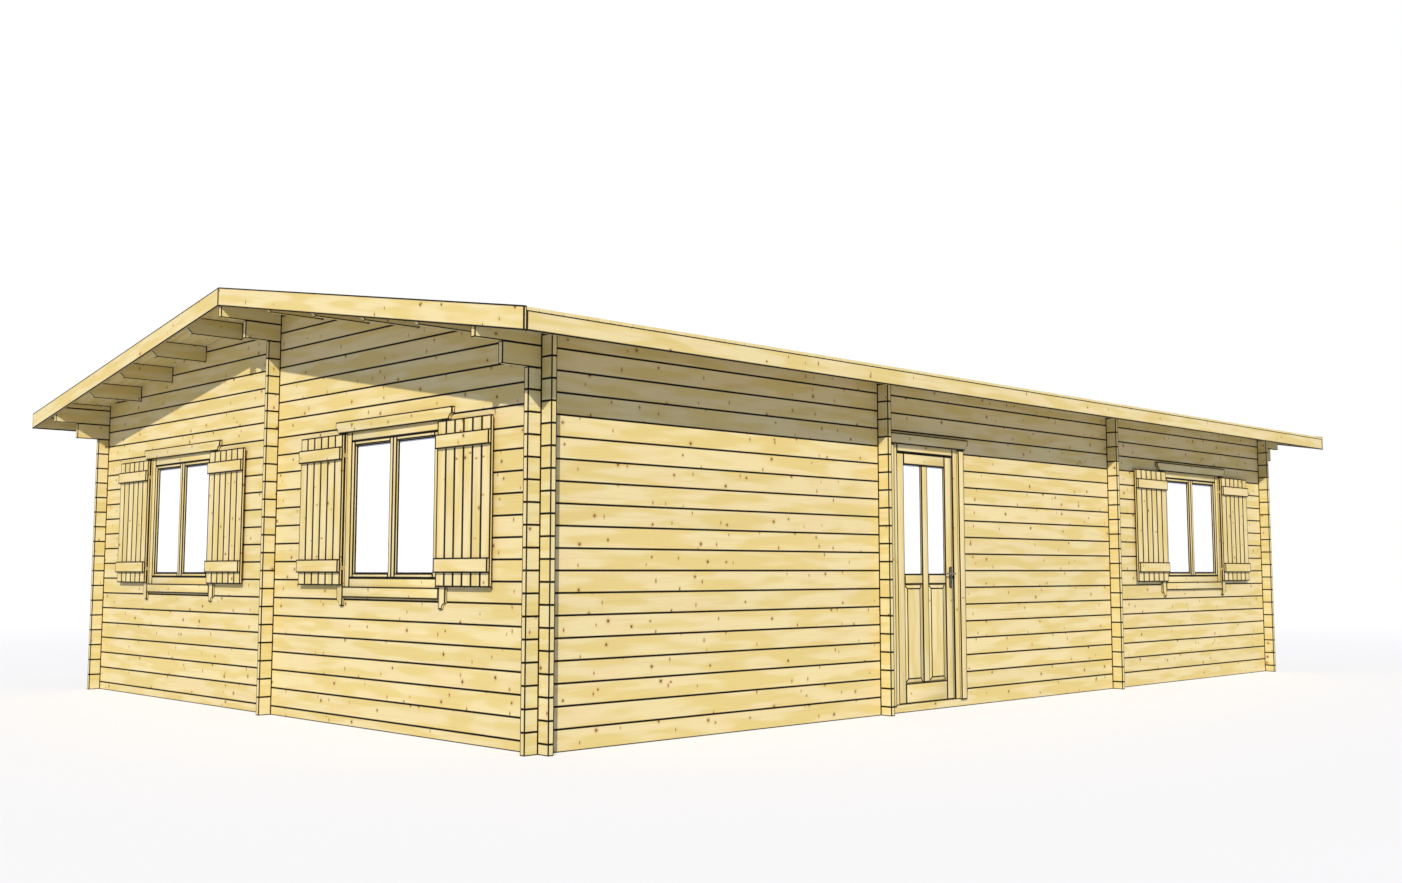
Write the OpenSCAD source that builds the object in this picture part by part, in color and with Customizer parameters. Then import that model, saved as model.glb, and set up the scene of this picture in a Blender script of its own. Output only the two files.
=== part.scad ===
// Log cabin with three bays, two rows of rooms, a low gable roof, shuttered windows and a glazed door.
// Origin: middle of the plan at ground level. X runs along the front wall, the front faces -Y.

/* [Logs] */
// Thickness of a log
log_t = 42; // [36:1:60]
// Height of a log
log_h = 140; // [120:1:160]
// How far the log ends stand out past a crossing
log_end = 103; // [80:1:140]
// Chamfer along the edges of each log
log_chamfer = 3; // [2:0.5:5]
// Play between neighbouring logs
log_play = 0.4; // [0.2:0.1:0.8]
// Lowest strip of a log that is still laid under the roof
min_strip = 20; // [10:1:40]

/* [Plan] */
// Length over the outer faces of the gable walls
house_l = 10294; // [9000:1:12400]
// Width over the outer faces of the front and back walls
house_w = 6794; // [6200:1:8200]
// Clear length of the two end bays
end_bay = 3313; // [2900:1:3600]

/* [Roof] */
// Slope of the roof in degrees
roof_pitch = 9.8; // [7:0.1:14]
// Height of the underside of the roof boards at the ridge
ridge_z = 3288; // [3200:1:3500]
// Overhang of the roof boards past the gable walls
gable_over = 508; // [400:1:620]
// Overhang of the roof boards past the front and back walls
eave_over = 510; // [400:1:620]
// Thickness of the roof boards
deck_t = 19; // [16:1:28]
// Gap between the roof boards and the timbers that carry them
deck_seat = 0.3; // [0.2:0.1:0.8]
// Width of a barge board
barge_w = 145; // [120:1:180]
// Thickness of the barge boards and fascias
edge_board_t = 20; // [16:1:28]
// How far a barge board stands above the roof boards
barge_lip = 6; // [2:1:20]
// Height of an eave fascia
fascia_w = 120; // [90:1:150]
// Purlins on each slope
purlins = 4; // [3:1:4]
// Distance from the ridge to the uphill face of the first purlin
purlin_first = 644; // [560:1:700]
// Distance from purlin to purlin
purlin_pitch = 665; // [560:1:680]
// Length of the slanting cut under each purlin end
purlin_snipe = 78; // [40:1:100]
// Projection of the lower corbel logs past the gable
corbel_low = 303; // [200:1:380]

/* [Floor] */
// Height of the floor surface and of the door sill
floor_z = 60; // [55:1:65]
// Thickness of the floor boards
floor_t = 19; // [16:1:24]
// Width of a floor joist
joist_w = 45; // [40:1:60]
// Joists in each room
joists = 6; // [4:1:8]
// Gap between the floor boards and the walls
floor_play = 5; // [3:0.5:12]

/* [Windows] */
// Distance from the house corner to the middle of a window
window_inset = 1690; // [1600:1:1750]
// Logs below a window opening
window_row = 7; // [6:1:8]
// Width of the pair of casements
casement_pair_w = 1120; // [1000:1:1140]
// Height of the casements
casement_h = 1000; // [900:1:1010]
// Visible width of a frame member beside the casements and the door leaf
frame_face = 60; // [50:1:70]
// Visible height of a frame above the casements and the door leaf
head_face = 63; // [50:1:80]
// Visible height of a window frame below the casements
sill_face = 63; // [50:1:80]
// Part of a frame behind its casings and head board
frame_cover = 15; // [10:1:20]
// Part of a window frame behind its apron
sill_cover = 20; // [10:1:30]
// Gap between a frame and the logs around it
frame_play = 5; // [3:0.5:10]
// Visible width of a casement stile
casement_stile = 42; // [36:1:60]
// Visible width of a casement rail
casement_rail = 31; // [26:1:60]
// Depth of the glass behind the casement face
glass_depth = 24; // [16:1:30]
// Thickness of the glass
glass_t = 4; // [3:1:6]
// Edge of a pane that sits in its rebate
glass_hold = 8; // [6:1:12]
// Gap around a pane in its rebate
glass_play = 0.3; // [0.2:0.1:1]
// Gap around a closed casement
casement_play = 0.6; // [0.4:0.1:2]
// Depth of a casement's inner face in front of the wall's inner face
casement_back = 2; // [1:0.5:6]

/* [Trim] */
// Width of the casings beside windows and door
casing_w = 80; // [60:1:100]
// Thickness of the casings and aprons
casing_t = 20; // [16:1:22]
// Length of the casings below the window frame
casing_drop = 145; // [110:1:180]
// Height of the apron board under a window
apron_h = 80; // [60:1:100]
// Height of a head board
head_h = 90; // [70:1:110]
// Thickness of a head board
head_t = 27; // [22:1:30]
// How far a head board reaches past the casings
head_reach = 57; // [45:1:80]
// Radius of the coves cut into the board ends
cove_r = 42; // [25:1:45]

/* [Door] */
// Distance from the cross wall to the middle of the door
door_offset = 576; // [570:1:900]
// Clear width between the door jambs
door_clear_w = 750; // [700:1:900]
// Thickness of the door leaf
leaf_t = 40; // [36:1:44]
// Depth of the leaf behind the outer face of the frame
leaf_inset = 10; // [6:1:14]
// Gap beside the leaf at the hinges, above it and below it
leaf_gap = 5; // [4:0.5:8]
// Gap between the leaf and the jamb on the latch side
latch_gap = 7; // [6:0.5:10]
// How far the door casings reach below the sill
casing_below = 4; // [0:1:10]
// Width of the door stiles
stile_w = 93; // [80:1:110]
// Width of the middle mullion
mullion_w = 80; // [60:1:100]
// Height of the top rail
top_rail = 92; // [80:1:120]
// Height of the middle rail
mid_rail = 80; // [70:1:120]
// Height of the bottom rail
bottom_rail = 158; // [120:1:200]
// Height of the two lower panels
panel_h = 788; // [700:1:850]
// Width of the bevel around each panel
panel_bevel = 36; // [20:1:45]
// Depth of a panel's raised face behind the leaf's face
panel_set = 4; // [2:1:8]
// Depth of a panel's edge behind the leaf's face
panel_bed = 14; // [10:1:18]
// Thickness of a panel at its raised face
panel_t = 24; // [20:1:28]
// Depth of the glass behind the leaf's face
door_glass_depth = 18; // [12:1:24]

/* [Handle] */
// Height of the handle above the ground
handle_z = 1095; // [1000:1:1150]
// Distance from the leaf's edge to the handle spindle
handle_backset = 30; // [28:1:60]
// Length of the handle lever
lever_l = 120; // [100:1:135]
// Thickness of the handle lever
lever_d = 16; // [12:1:20]
// Distance from a handle plate to the middle of the lever
lever_stand = 58; // [48:1:68]
// Radius of the lever's neck
neck_r = 8; // [6:0.5:10]
// Gap around the neck in its plate
neck_play = 0.4; // [0.3:0.1:1]
// Width of the square spindle
spindle_w = 8; // [6:1:10]
// Radius of the hole for the spindle in the leaf
spindle_hole_r = 12; // [10:1:16]
// Width of a handle plate
plate_w = 36; // [30:1:44]
// Height of a handle plate
plate_h = 180; // [160:1:230]
// Thickness of a handle plate
plate_t = 8; // [5:1:10]
// Distance from the spindle down to the middle of the plate
plate_drop = 31; // [0:1:40]

/* [Door hinges] */
// Distance from an end of the leaf to the middle of the nearest hinge
door_hinge_inset = 230; // [150:1:300]
// Radius of a hinge pin
door_pin_r = 3; // [2.5:0.5:4]
// Radius of a hinge knuckle
door_knuckle_r = 7; // [6:0.5:9]
// Height of each half of a hinge
door_knuckle_h = 45; // [30:1:60]
// Thickness of a hinge plate
hinge_plate_t = 3; // [2:0.5:4]
// Width of a hinge plate from the pin
hinge_plate_w = 40; // [30:1:50]
// Gap between the knuckles and the leaf's inner face
knuckle_stand = 0.5; // [0.5:0.1:2]
// Gap around a hinge pin and between the two halves of a hinge
pin_play = 0.3; // [0.2:0.05:0.5]

/* [Shutters] */
// Thickness of the shutter boards
shutter_t = 20; // [16:1:24]
// Height of a shutter batten
batten_h = 100; // [80:1:120]
// Distance from a shutter end to the nearest batten
batten_inset = 93; // [60:1:120]
// Boards in a shutter
shutter_boards = 6; // [5:1:7]
// Depth of the V joints between the shutter boards
groove_d = 2.5; // [1.5:0.5:4]
// Distance from the wall to the back of an open shutter
shutter_back = 25; // [23:1:35]
// Gap above and below a closed shutter
shutter_gap = 6; // [5:0.5:10]
// Gap between two closed shutters
shutter_meet = 6; // [5:0.5:10]
// Radius of the shutter hinge knuckles
knuckle_r = 4; // [3.5:0.5:5]
// Radius of the shutter hinge pins
shutter_pin_r = 2; // [1.5:0.5:2.5]
// Height of each half of a shutter hinge
knuckle_h = 30; // [20:1:40]
// Thickness of the shutter hinge plates
knuckle_leaf_t = 2; // [1.5:0.5:3]
// Gap between a knuckle and the edge of its shutter
knuckle_gap = 1; // [0.5:0.5:3]

/* [Doorways] */
// Width of the inner doorways
doorway_w = 860; // [760:1:1000]
// Height of the top of the inner doorways above the ground
doorway_top = 2030; // [1960:1:2040]

/* [Hidden] */
$fn = 48;

half_l = house_l / 2;
half_w = house_w / 2;
slope = tan(roof_pitch);
deck_top = deck_seat + deck_t / cos(roof_pitch);  // upper face above the timbers, measured plumb
wall_line_x = half_l - log_t / 2;              // middle of a gable wall
cross_line_x = half_l - 1.5 * log_t - end_bay; // middle of a cross wall
wall_line_y = half_w - log_t / 2;              // middle of the front or back wall
x_walls = [-wall_line_y, 0, wall_line_y];
y_walls = [-wall_line_x, -cross_line_x, cross_line_x, wall_line_x];
end_x = half_l + log_end;
end_y = half_w + log_end;
corbel_high = gable_over;
quarter = log_h / 4;
half_row = log_h / 2;
reach = 100;  // how far a cutting tool runs past what it cuts
skim = 1;     // how far a tool or a join overlaps a face that it has to cross

// Opening for a window frame
open_half = casement_pair_w / 2 + frame_face + frame_cover + frame_play;
open_bottom = window_row * log_h;
frame_half = open_half - frame_play;
frame_bottom = open_bottom + frame_play;
casement_z = frame_bottom + sill_cover + sill_face;
casement_top = casement_z + casement_h;
frame_top = casement_top + head_face + frame_cover;
open_top = frame_top + frame_play;
trim_half = casement_pair_w / 2 + frame_face;  // inner edge of the casings
trim_top = casement_top + head_face;           // lower edge of the head boards
apron_top = casement_z - sill_face;
casing_foot = apron_top - casing_drop;

// Door
door_x = -cross_line_x + log_t / 2 + door_offset;
door_trim_half = door_clear_w / 2 + frame_face;
door_frame_half = door_trim_half + frame_cover;
door_open_half = door_frame_half + frame_play;
door_frame_t = leaf_inset + leaf_t;
leaf_x0 = door_x - door_clear_w / 2 + leaf_gap;
leaf_x1 = door_x + door_clear_w / 2 - latch_gap;
leaf_z0 = floor_z + leaf_gap;
leaf_z1 = casement_top;
door_head_z = leaf_z1 + leaf_gap;
leaf_y0 = -half_w + leaf_inset;
leaf_y1 = leaf_y0 + leaf_t;
pane_w = (leaf_x1 - leaf_x0 - 2 * stile_w - mullion_w) / 2;
panel_z0 = leaf_z0 + bottom_rail;
panel_z1 = panel_z0 + panel_h;
pane_z0 = panel_z1 + mid_rail;
pane_z1 = leaf_z1 - top_rail;
handle_x = leaf_x1 - handle_backset;
door_pin_x = door_x - door_clear_w / 2 + leaf_gap / 2;
door_pin_y = leaf_y1 + door_knuckle_r + knuckle_stand;
door_hinge_z = [leaf_z0 + door_hinge_inset, leaf_z1 - door_hinge_inset];

// Shutters, measured from the wall face outwards
shutter_front = shutter_back + shutter_t;
batten_front = shutter_front + shutter_t;
shutter_pin_d = shutter_back + shutter_t / 2;
pin_x = trim_half - knuckle_r;     // from the window's middle to a hinge pin
edge_off = knuckle_r + knuckle_gap;
shutter_w = pin_x - edge_off - shutter_meet / 2;
shutter_z0 = apron_top + shutter_gap;
shutter_z1 = trim_top - shutter_gap;
shutter_hinge_z = [shutter_z0 + batten_inset + batten_h / 2, shutter_z1 - batten_inset - batten_h / 2];

window_x = half_l - window_inset;
window_y = half_w - window_inset;

log_colour = [0.90, 0.81, 0.55];
board_colour = [0.94, 0.86, 0.62];
roof_colour = [0.86, 0.76, 0.50];
glass_colour = [0.85, 0.92, 0.95, 0.6];
handle_colour = [0.62, 0.62, 0.64];
hinge_colour = [0.75, 0.64, 0.36];

// Underside of the roof boards above a distance y from the ridge
function roof_under(y) = ridge_z - slope * abs(y);

// ---------------------------------------------------------------- logs

// Cross section of a log between the heights z0 and z1, centred on the wall line
module log_section(z0, z1) {
    t = log_t / 2;
    c = log_chamfer;
    polygon([
        [-t, z0 + c], [-t + c, z0], [t - c, z0], [t, z0 + c],
        [t, z1 - c], [t - c, z1], [-t + c, z1], [-t, z1 - c]
    ]);
}

// Log along X from x0 to x1 on the wall line y
module bar_x(x0, x1, y, z0, z1) {
    translate([x0, y, 0])
        rotate([90, 0, 90])
            linear_extrude(x1 - x0)
                log_section(z0, z1);
}

// Log along Y from y0 to y1 on the wall line x
module bar_y(y0, y1, x, z0, z1) {
    translate([x, y1, 0])
        rotate([90, 0, 0])
            linear_extrude(y1 - y0)
                log_section(z0, z1);
}

// Space under the roof boards, as long as the whole roof
module under_roof(x0, x1) {
    y = end_y + eave_over;
    translate([x0, 0, 0])
        rotate([90, 0, 90])
            linear_extrude(x1 - x0)
                polygon([
                    [-y, -reach], [y, -reach], [y, roof_under(y)], [0, ridge_z], [-y, roof_under(y)]
                ]);
}

// Notches of an X log of nominal foot z0 where the Y walls cross it
module notches_x(z0, y) {
    w = log_t + 2 * log_play;
    for (x = y_walls) {
        translate([x - w / 2, y - log_t, z0 - reach])
            cube([w, 2 * log_t, reach + quarter + log_play / 2]);
        translate([x - w / 2, y - log_t, z0 + 3 * quarter - log_play / 2])
            cube([w, 2 * log_t, reach + quarter]);
    }
}

// Notches of a Y log of nominal foot z0 where the X walls cross it
module notches_y(z0, x, lines) {
    w = log_t + 2 * log_play;
    for (y = lines) {
        translate([x - log_t, y - w / 2, z0 - reach])
            cube([2 * log_t, w, reach + quarter + log_play / 2]);
        translate([x - log_t, y - w / 2, z0 + 3 * quarter - log_play / 2])
            cube([2 * log_t, w, reach + quarter]);
    }
}

// One X log of row k between x0 and x1, trimmed by the roof where it reaches it
module log_x(k, x0, x1, y) {
    nominal = k * log_h;
    z0 = nominal + (k == 0 ? 0 : log_play / 2);
    z1 = nominal + log_h - log_play / 2;
    difference() {
        if (z1 > roof_under(abs(y) + log_t / 2)) {
            intersection() {
                bar_x(x0, x1, y, z0, z1);
                under_roof(x0 - skim, x1 + skim);
            }
        } else {
            bar_x(x0, x1, y, z0, z1);
        }
        notches_x(nominal, y);
    }
}

// Rows of X logs from k0 to k1, in the pieces that the list of [x0, x1] gives
module rows_x(k0, k1, y, pieces) {
    for (k = [k0:k1])
        for (p = pieces)
            log_x(k, p[0], p[1], y);
}

// Last row of X logs on a wall line that still lies under the roof
function last_row(y) = ceil((roof_under(abs(y) + (y == 0 ? 0 : log_t / 2)) - min_strip) / log_h) - 1;

// Projection of row k past the gable: plain end, lower corbel or upper corbel
function x_end(k, y) =
    let (top = last_row(y), corbel_row = top - 2)
    k < corbel_row ? end_x : (k == corbel_row ? half_l + corbel_low : half_l + corbel_high);

// Foot and head of row j of the Y logs; row 0 is the half log on the ground
function y_foot(j) = (j - 0.5) * log_h;
function y_last() = ceil((ridge_z - min_strip) / log_h + 0.5) - 1;

// Distance of purlin n from the ridge, and the height of its foot
function purlin_y(n) = purlin_first + n * purlin_pitch;
function purlin_foot(n) = roof_under(purlin_y(n)) - log_h;

// Cross section of purlin n with play around it, its top raised by rise above the roof's underside
module purlin_section(n, play, rise) {
    y0 = purlin_y(n) - play;
    y1 = purlin_y(n) + log_t + play;
    foot = purlin_foot(n) - play;
    polygon([[y0, foot], [y1, foot], [y1, roof_under(y1) + rise], [y0, roof_under(y0) + rise]]);
}

// Seats of the purlins in the wall on the line x
module purlin_cuts(x) {
    for (side = [0, 1])
        mirror([0, side, 0])
            for (n = [0:purlins - 1])
                translate([x - log_t, 0, 0])
                    rotate([90, 0, 90])
                        linear_extrude(2 * log_t)
                            purlin_section(n, log_play, skim);
}

// One Y log of row j between y0 and y1
module log_y(j, y0, y1, x) {
    nominal = y_foot(j);
    z0 = j == 0 ? 0 : nominal + log_play / 2;
    z1 = nominal + log_h - log_play / 2;
    difference() {
        if (z1 > roof_under(max(abs(y0), abs(y1)))) {
            intersection() {
                bar_y(y0, y1, x, z0, z1);
                under_roof(x - log_t, x + log_t);
            }
        } else {
            bar_y(y0, y1, x, z0, z1);
        }
        notches_y(nominal, x, nominal < roof_under(half_w - log_t) ? x_walls : [0]);
        if (z1 > purlin_foot(purlins - 1) - log_play)
            purlin_cuts(x);
    }
}

// Wall of Y logs; cuts lists [middle, half width, bottom, top] of the openings in it, by rising y
module wall_y(x, cuts) {
    for (j = [0:y_last()]) {
        whole = [for (c = cuts) if (y_foot(j) >= c[2] - skim && y_foot(j) + log_h <= c[3] + skim) c];
        edges = concat([-end_y], [for (c = whole) each [c[0] - c[1], c[0] + c[1]]], [end_y]);
        for (i = [0:2:len(edges) - 2])
            difference() {
                log_y(j, edges[i], edges[i + 1], x);
                if (len(whole) == 0)
                    for (c = cuts)
                        if (y_foot(j) < c[3] && y_foot(j) + log_h > c[2])
                            translate([x - log_t, c[0] - c[1], c[2]])
                                cube([2 * log_t, 2 * c[1], c[3] - c[2]]);
            }
    }
}

window_cuts_y = [
    [-window_y, open_half, open_bottom, open_top],
    [window_y, open_half, open_bottom, open_top]
];
doorway_y = half_w / 2;
doorway_cuts_y = [
    [-doorway_y, doorway_w / 2, half_row, doorway_top],
    [doorway_y, doorway_w / 2, half_row, doorway_top]
];

// Opening for a window or door in an X wall
module opening_x(x, half, y, bottom, top) {
    translate([x - half, y - log_t, bottom])
        cube([2 * half, 2 * log_t, top - bottom]);
}

cut_row = floor(open_top / log_h);   // row that the tops of the openings are cut into
front_y = -wall_line_y;

module front_sill_log() {
    color(log_colour)
        difference() {
            log_x(0, -end_x, end_x, front_y);
            opening_x(door_x, door_open_half, front_y, floor_z, open_top);
        }
}

module front_wall_left() {
    color(log_colour)
        rows_x(1, cut_row - 1, front_y, [[-end_x, door_x - door_open_half]]);
}

module front_wall_right() {
    color(log_colour) {
        start = door_x + door_open_half;
        rows_x(1, window_row - 1, front_y, [[start, end_x]]);
        rows_x(window_row, cut_row - 1, front_y,
            [[start, window_x - open_half], [window_x + open_half, end_x]]);
    }
}

module front_wall_top() {
    color(log_colour) {
        difference() {
            log_x(cut_row, -end_x, end_x, front_y);
            opening_x(door_x, door_open_half, front_y, floor_z, open_top);
            opening_x(window_x, open_half, front_y, open_bottom, open_top);
        }
        for (k = [cut_row + 1:last_row(front_y)])
            log_x(k, -x_end(k, front_y), x_end(k, front_y), front_y);
    }
}

module back_wall() {
    y = wall_line_y;
    color(log_colour) {
        rows_x(0, window_row - 1, y, [[-end_x, end_x]]);
        rows_x(window_row, cut_row - 1, y, [
            [-end_x, -window_x - open_half],
            [-window_x + open_half, window_x - open_half],
            [window_x + open_half, end_x]
        ]);
        difference() {
            log_x(cut_row, -end_x, end_x, y);
            for (side = [-1, 1])
                opening_x(side * window_x, open_half, y, open_bottom, open_top);
        }
        for (k = [cut_row + 1:last_row(y)])
            log_x(k, -x_end(k, y), x_end(k, y), y);
    }
}

module centre_wall() {
    door_row = floor(doorway_top / log_h);
    half = doorway_w / 2;
    color(log_colour) {
        for (k = [0, door_row])
            difference() {
                log_x(k, -end_x, end_x, 0);
                opening_x(0, half, 0, floor_z, doorway_top);
            }
        rows_x(1, door_row - 1, 0, [[-end_x, -half], [half, end_x]]);
        for (k = [door_row + 1:last_row(0)])
            log_x(k, -x_end(k, 0), x_end(k, 0), 0);
    }
}

module left_gable_wall() {
    color(log_colour)
        wall_y(-wall_line_x, window_cuts_y);
}

module right_gable_wall() {
    color(log_colour)
        wall_y(wall_line_x, window_cuts_y);
}

module left_cross_wall() {
    color(log_colour)
        wall_y(-cross_line_x, doorway_cuts_y);
}

module right_cross_wall() {
    color(log_colour)
        wall_y(cross_line_x, doorway_cuts_y);
}

// ---------------------------------------------------------------- roof

roof_half_l = half_l + gable_over;
eave_y = half_w + eave_over;

// Purlins of the slope towards +Y, cut slanting under both ends
module slope_purlins() {
    for (n = [0:purlins - 1])
        difference() {
            translate([-roof_half_l, 0, 0])
                rotate([90, 0, 90])
                    linear_extrude(2 * roof_half_l)
                        purlin_section(n, 0, 0);
            for (end = [0, 1])
                mirror([end, 0, 0])
                    translate([roof_half_l, 0, purlin_foot(n)])
                        rotate([90, 0, 0])
                            linear_extrude(2 * eave_y, center = true)
                                polygon([[-purlin_snipe, 0], [reach, -reach], [reach, purlin_snipe + reach]]);
        }
}

module front_purlins() {
    color(log_colour)
        mirror([0, 1, 0])
            slope_purlins();
}

module back_purlins() {
    color(log_colour)
        slope_purlins();
}

// Roof boards of the slope towards +Y
module slope_deck() {
    gap = log_play / 2;
    translate([-roof_half_l, 0, 0])
        rotate([90, 0, 90])
            linear_extrude(2 * roof_half_l)
                polygon([
                    [gap, roof_under(gap) + deck_seat], [eave_y, roof_under(eave_y) + deck_seat],
                    [eave_y, roof_under(eave_y) + deck_top], [gap, roof_under(gap) + deck_top]
                ]);
}

module front_roof_deck() {
    color(roof_colour)
        mirror([0, 1, 0])
            slope_deck();
}

module back_roof_deck() {
    color(roof_colour)
        slope_deck();
}

// Pair of barge boards with a plumb joint at the ridge, on the gable towards +X
module barge_pair() {
    gap = log_play / 2;
    lift = deck_top + barge_lip;
    drop = barge_w / cos(roof_pitch);
    for (side = [0, 1])
        mirror([0, side, 0])
            translate([roof_half_l, 0, 0])
                rotate([90, 0, 90])
                    linear_extrude(edge_board_t)
                        polygon([
                            [gap, roof_under(gap) + lift], [gap, roof_under(gap) + lift - drop],
                            [eave_y, roof_under(eave_y) + lift - drop], [eave_y, roof_under(eave_y) + lift]
                        ]);
}

module left_barge_boards() {
    color(board_colour)
        mirror([1, 0, 0])
            barge_pair();
}

module right_barge_boards() {
    color(board_colour)
        barge_pair();
}

// Board under the edge of the roof boards, on the slope towards +Y
module eave_board() {
    foot = roof_under(eave_y) - fascia_w;
    inner = eave_y - edge_board_t;
    translate([-roof_half_l, 0, 0])
        rotate([90, 0, 90])
            linear_extrude(2 * roof_half_l)
                polygon([
                    [inner, foot], [eave_y, foot], [eave_y, roof_under(eave_y)], [inner, roof_under(inner)]
                ]);
}

module front_fascia() {
    color(board_colour)
        mirror([0, 1, 0])
            eave_board();
}

module back_fascia() {
    color(board_colour)
        eave_board();
}

// ---------------------------------------------------------------- floor

room_x = [
    [-half_l + log_t, -cross_line_x - log_t / 2],
    [-cross_line_x + log_t / 2, cross_line_x - log_t / 2],
    [cross_line_x + log_t / 2, half_l - log_t]
];
room_y = [[-half_w + log_t, -log_t / 2], [log_t / 2, half_w - log_t]];

// One field of boards in each room
module floor_boards() {
    color(board_colour)
        for (rx = room_x)
            for (ry = room_y)
                translate([rx[0] + floor_play, ry[0] + floor_play, floor_z - floor_t])
                    cube([rx[1] - rx[0] - 2 * floor_play, ry[1] - ry[0] - 2 * floor_play, floor_t]);
}

// Joists under each field of boards
module floor_joists() {
    color(log_colour)
        for (rx = room_x)
            for (ry = room_y) {
                step = (ry[1] - ry[0] - 2 * floor_play - joist_w) / (joists - 1);
                for (i = [0:joists - 1])
                    translate([rx[0] + log_play, ry[0] + floor_play + i * step, 0])
                        cube([rx[1] - rx[0] - 2 * log_play, joist_w, floor_z - floor_t]);
            }
}

// ---------------------------------------------------------------- windows

// A window is drawn in its own frame: X across, Y into the wall from its outer face, Z up from the ground.

// Wall facing -Y; x is the place along it of what is drawn there
module at_front(x) {
    translate([x, -half_w, 0])
        children();
}

// Wall facing +Y
module at_back(x) {
    rotate([0, 0, 180])
        at_front(-x)
            children();
}

// Wall facing -X; y is the window's place along it
module at_left(y) {
    translate([-half_l, y, 0])
        rotate([0, 0, -90])
            children();
}

// Wall facing +X
module at_right(y) {
    rotate([0, 0, 180])
        at_left(-y)
            children();
}

// Block between two values on each axis
module box(x0, x1, y0, y1, z0, z1) {
    translate([x0, y0, z0])
        cube([x1 - x0, y1 - y0, z1 - z0]);
}

// Frame with the opening for a pair of casements
module window_frame() {
    difference() {
        box(-frame_half, frame_half, 0, log_t, frame_bottom, frame_top);
        box(-casement_pair_w / 2, casement_pair_w / 2, -reach, reach, casement_z, casement_top);
    }
}

// Casement left (side 0) or right (side 1) of the middle
module casement(side) {
    p = casement_play;
    x0 = -casement_pair_w / 2 + p;
    x1 = -p / 2;
    mirror([side, 0, 0])
        difference() {
            box(x0, x1, 0, log_t - casement_back, casement_z + p, casement_top - p);
            box(x0 + casement_stile, x1 - casement_stile, -reach, reach,
                casement_z + casement_rail, casement_top - casement_rail);
            pane_space(x0, x1, glass_play);
        }
}

// Space of a pane between the outer edges x0 and x1 of its casement, with play around it
module pane_space(x0, x1, play) {
    h = glass_hold + play;
    box(x0 + casement_stile - h, x1 - casement_stile + h, glass_depth - play, glass_depth + glass_t + play,
        casement_z + casement_rail - h, casement_top - casement_rail + h);
}

// Frame and both casements, closed
module window_joinery() {
    window_frame();
    casement(0);
    casement(1);
}

// Both panes of a window
module window_panes() {
    for (side = [0, 1])
        mirror([side, 0, 0])
            pane_space(-casement_pair_w / 2 + casement_play, -casement_play / 2, 0);
}

// Casing beside a window on the side towards +X, with a cove at its outer lower corner
module window_casing() {
    difference() {
        box(trim_half, trim_half + casing_w, -casing_t, 0, casing_foot, trim_top - log_play);
        translate([trim_half + casing_w, -casing_t - skim, casing_foot])
            rotate([-90, 0, 0])
                cylinder(h = casing_t + 2 * skim, r = cove_r);
    }
}

// Head board from x0 to x1 with coves at the ends that are named
module head_board(x0, x1, coves) {
    difference() {
        box(x0, x1, -head_t, 0, trim_top, trim_top + head_h);
        for (x = coves)
            translate([x, -head_t - skim, trim_top])
                rotate([-90, 0, 0])
                    cylinder(h = head_t + 2 * skim, r = cove_r);
    }
}

// Casings, head board and apron of a window
module window_trim() {
    half = trim_half + casing_w + head_reach;
    for (side = [0, 1])
        mirror([side, 0, 0])
            window_casing();
    head_board(-half, half, [-half, half]);
    box(-trim_half + log_play, trim_half - log_play, -casing_t, 0, apron_top - apron_h, apron_top);
}

module front_window_frame() {
    color(board_colour)
        at_front(window_x)
            window_joinery();
}

module left_gable_window_frames() {
    color(board_colour)
        for (y = [-window_y, window_y])
            at_left(y)
                window_joinery();
}

module right_gable_window_frames() {
    color(board_colour)
        for (y = [-window_y, window_y])
            at_right(y)
                window_joinery();
}

module back_window_frames() {
    color(board_colour)
        for (x = [-window_x, window_x])
            at_back(x)
                window_joinery();
}

module front_window_trim() {
    color(board_colour)
        at_front(window_x)
            window_trim();
}

module left_gable_window_trim() {
    color(board_colour)
        for (y = [-window_y, window_y])
            at_left(y)
                window_trim();
}

module right_gable_window_trim() {
    color(board_colour)
        for (y = [-window_y, window_y])
            at_right(y)
                window_trim();
}

module back_window_trim() {
    color(board_colour)
        for (x = [-window_x, window_x])
            at_back(x)
                window_trim();
}

module window_glass() {
    color(glass_colour) {
        at_front(window_x)
            window_panes();
        for (y = [-window_y, window_y]) {
            at_left(y)
                window_panes();
            at_right(y)
                window_panes();
        }
        for (x = [-window_x, window_x])
            at_back(x)
                window_panes();
    }
}

// ---------------------------------------------------------------- shutters

// Boards of a shutter from x0 to x1, with V joints on both faces
module shutter_board_field(x0, x1) {
    pitch = (x1 - x0) / shutter_boards;
    difference() {
        box(x0, x1, -shutter_front, -shutter_back, shutter_z0, shutter_z1);
        for (i = [1:shutter_boards - 1])
            for (face = [-shutter_front, -shutter_back])
                translate([x0 + i * pitch, face, shutter_z0 - skim])
                    linear_extrude(shutter_z1 - shutter_z0 + 2 * skim)
                        polygon([[-groove_d, 0], [0, -groove_d], [groove_d, 0], [0, groove_d]]);
    }
}

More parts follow.
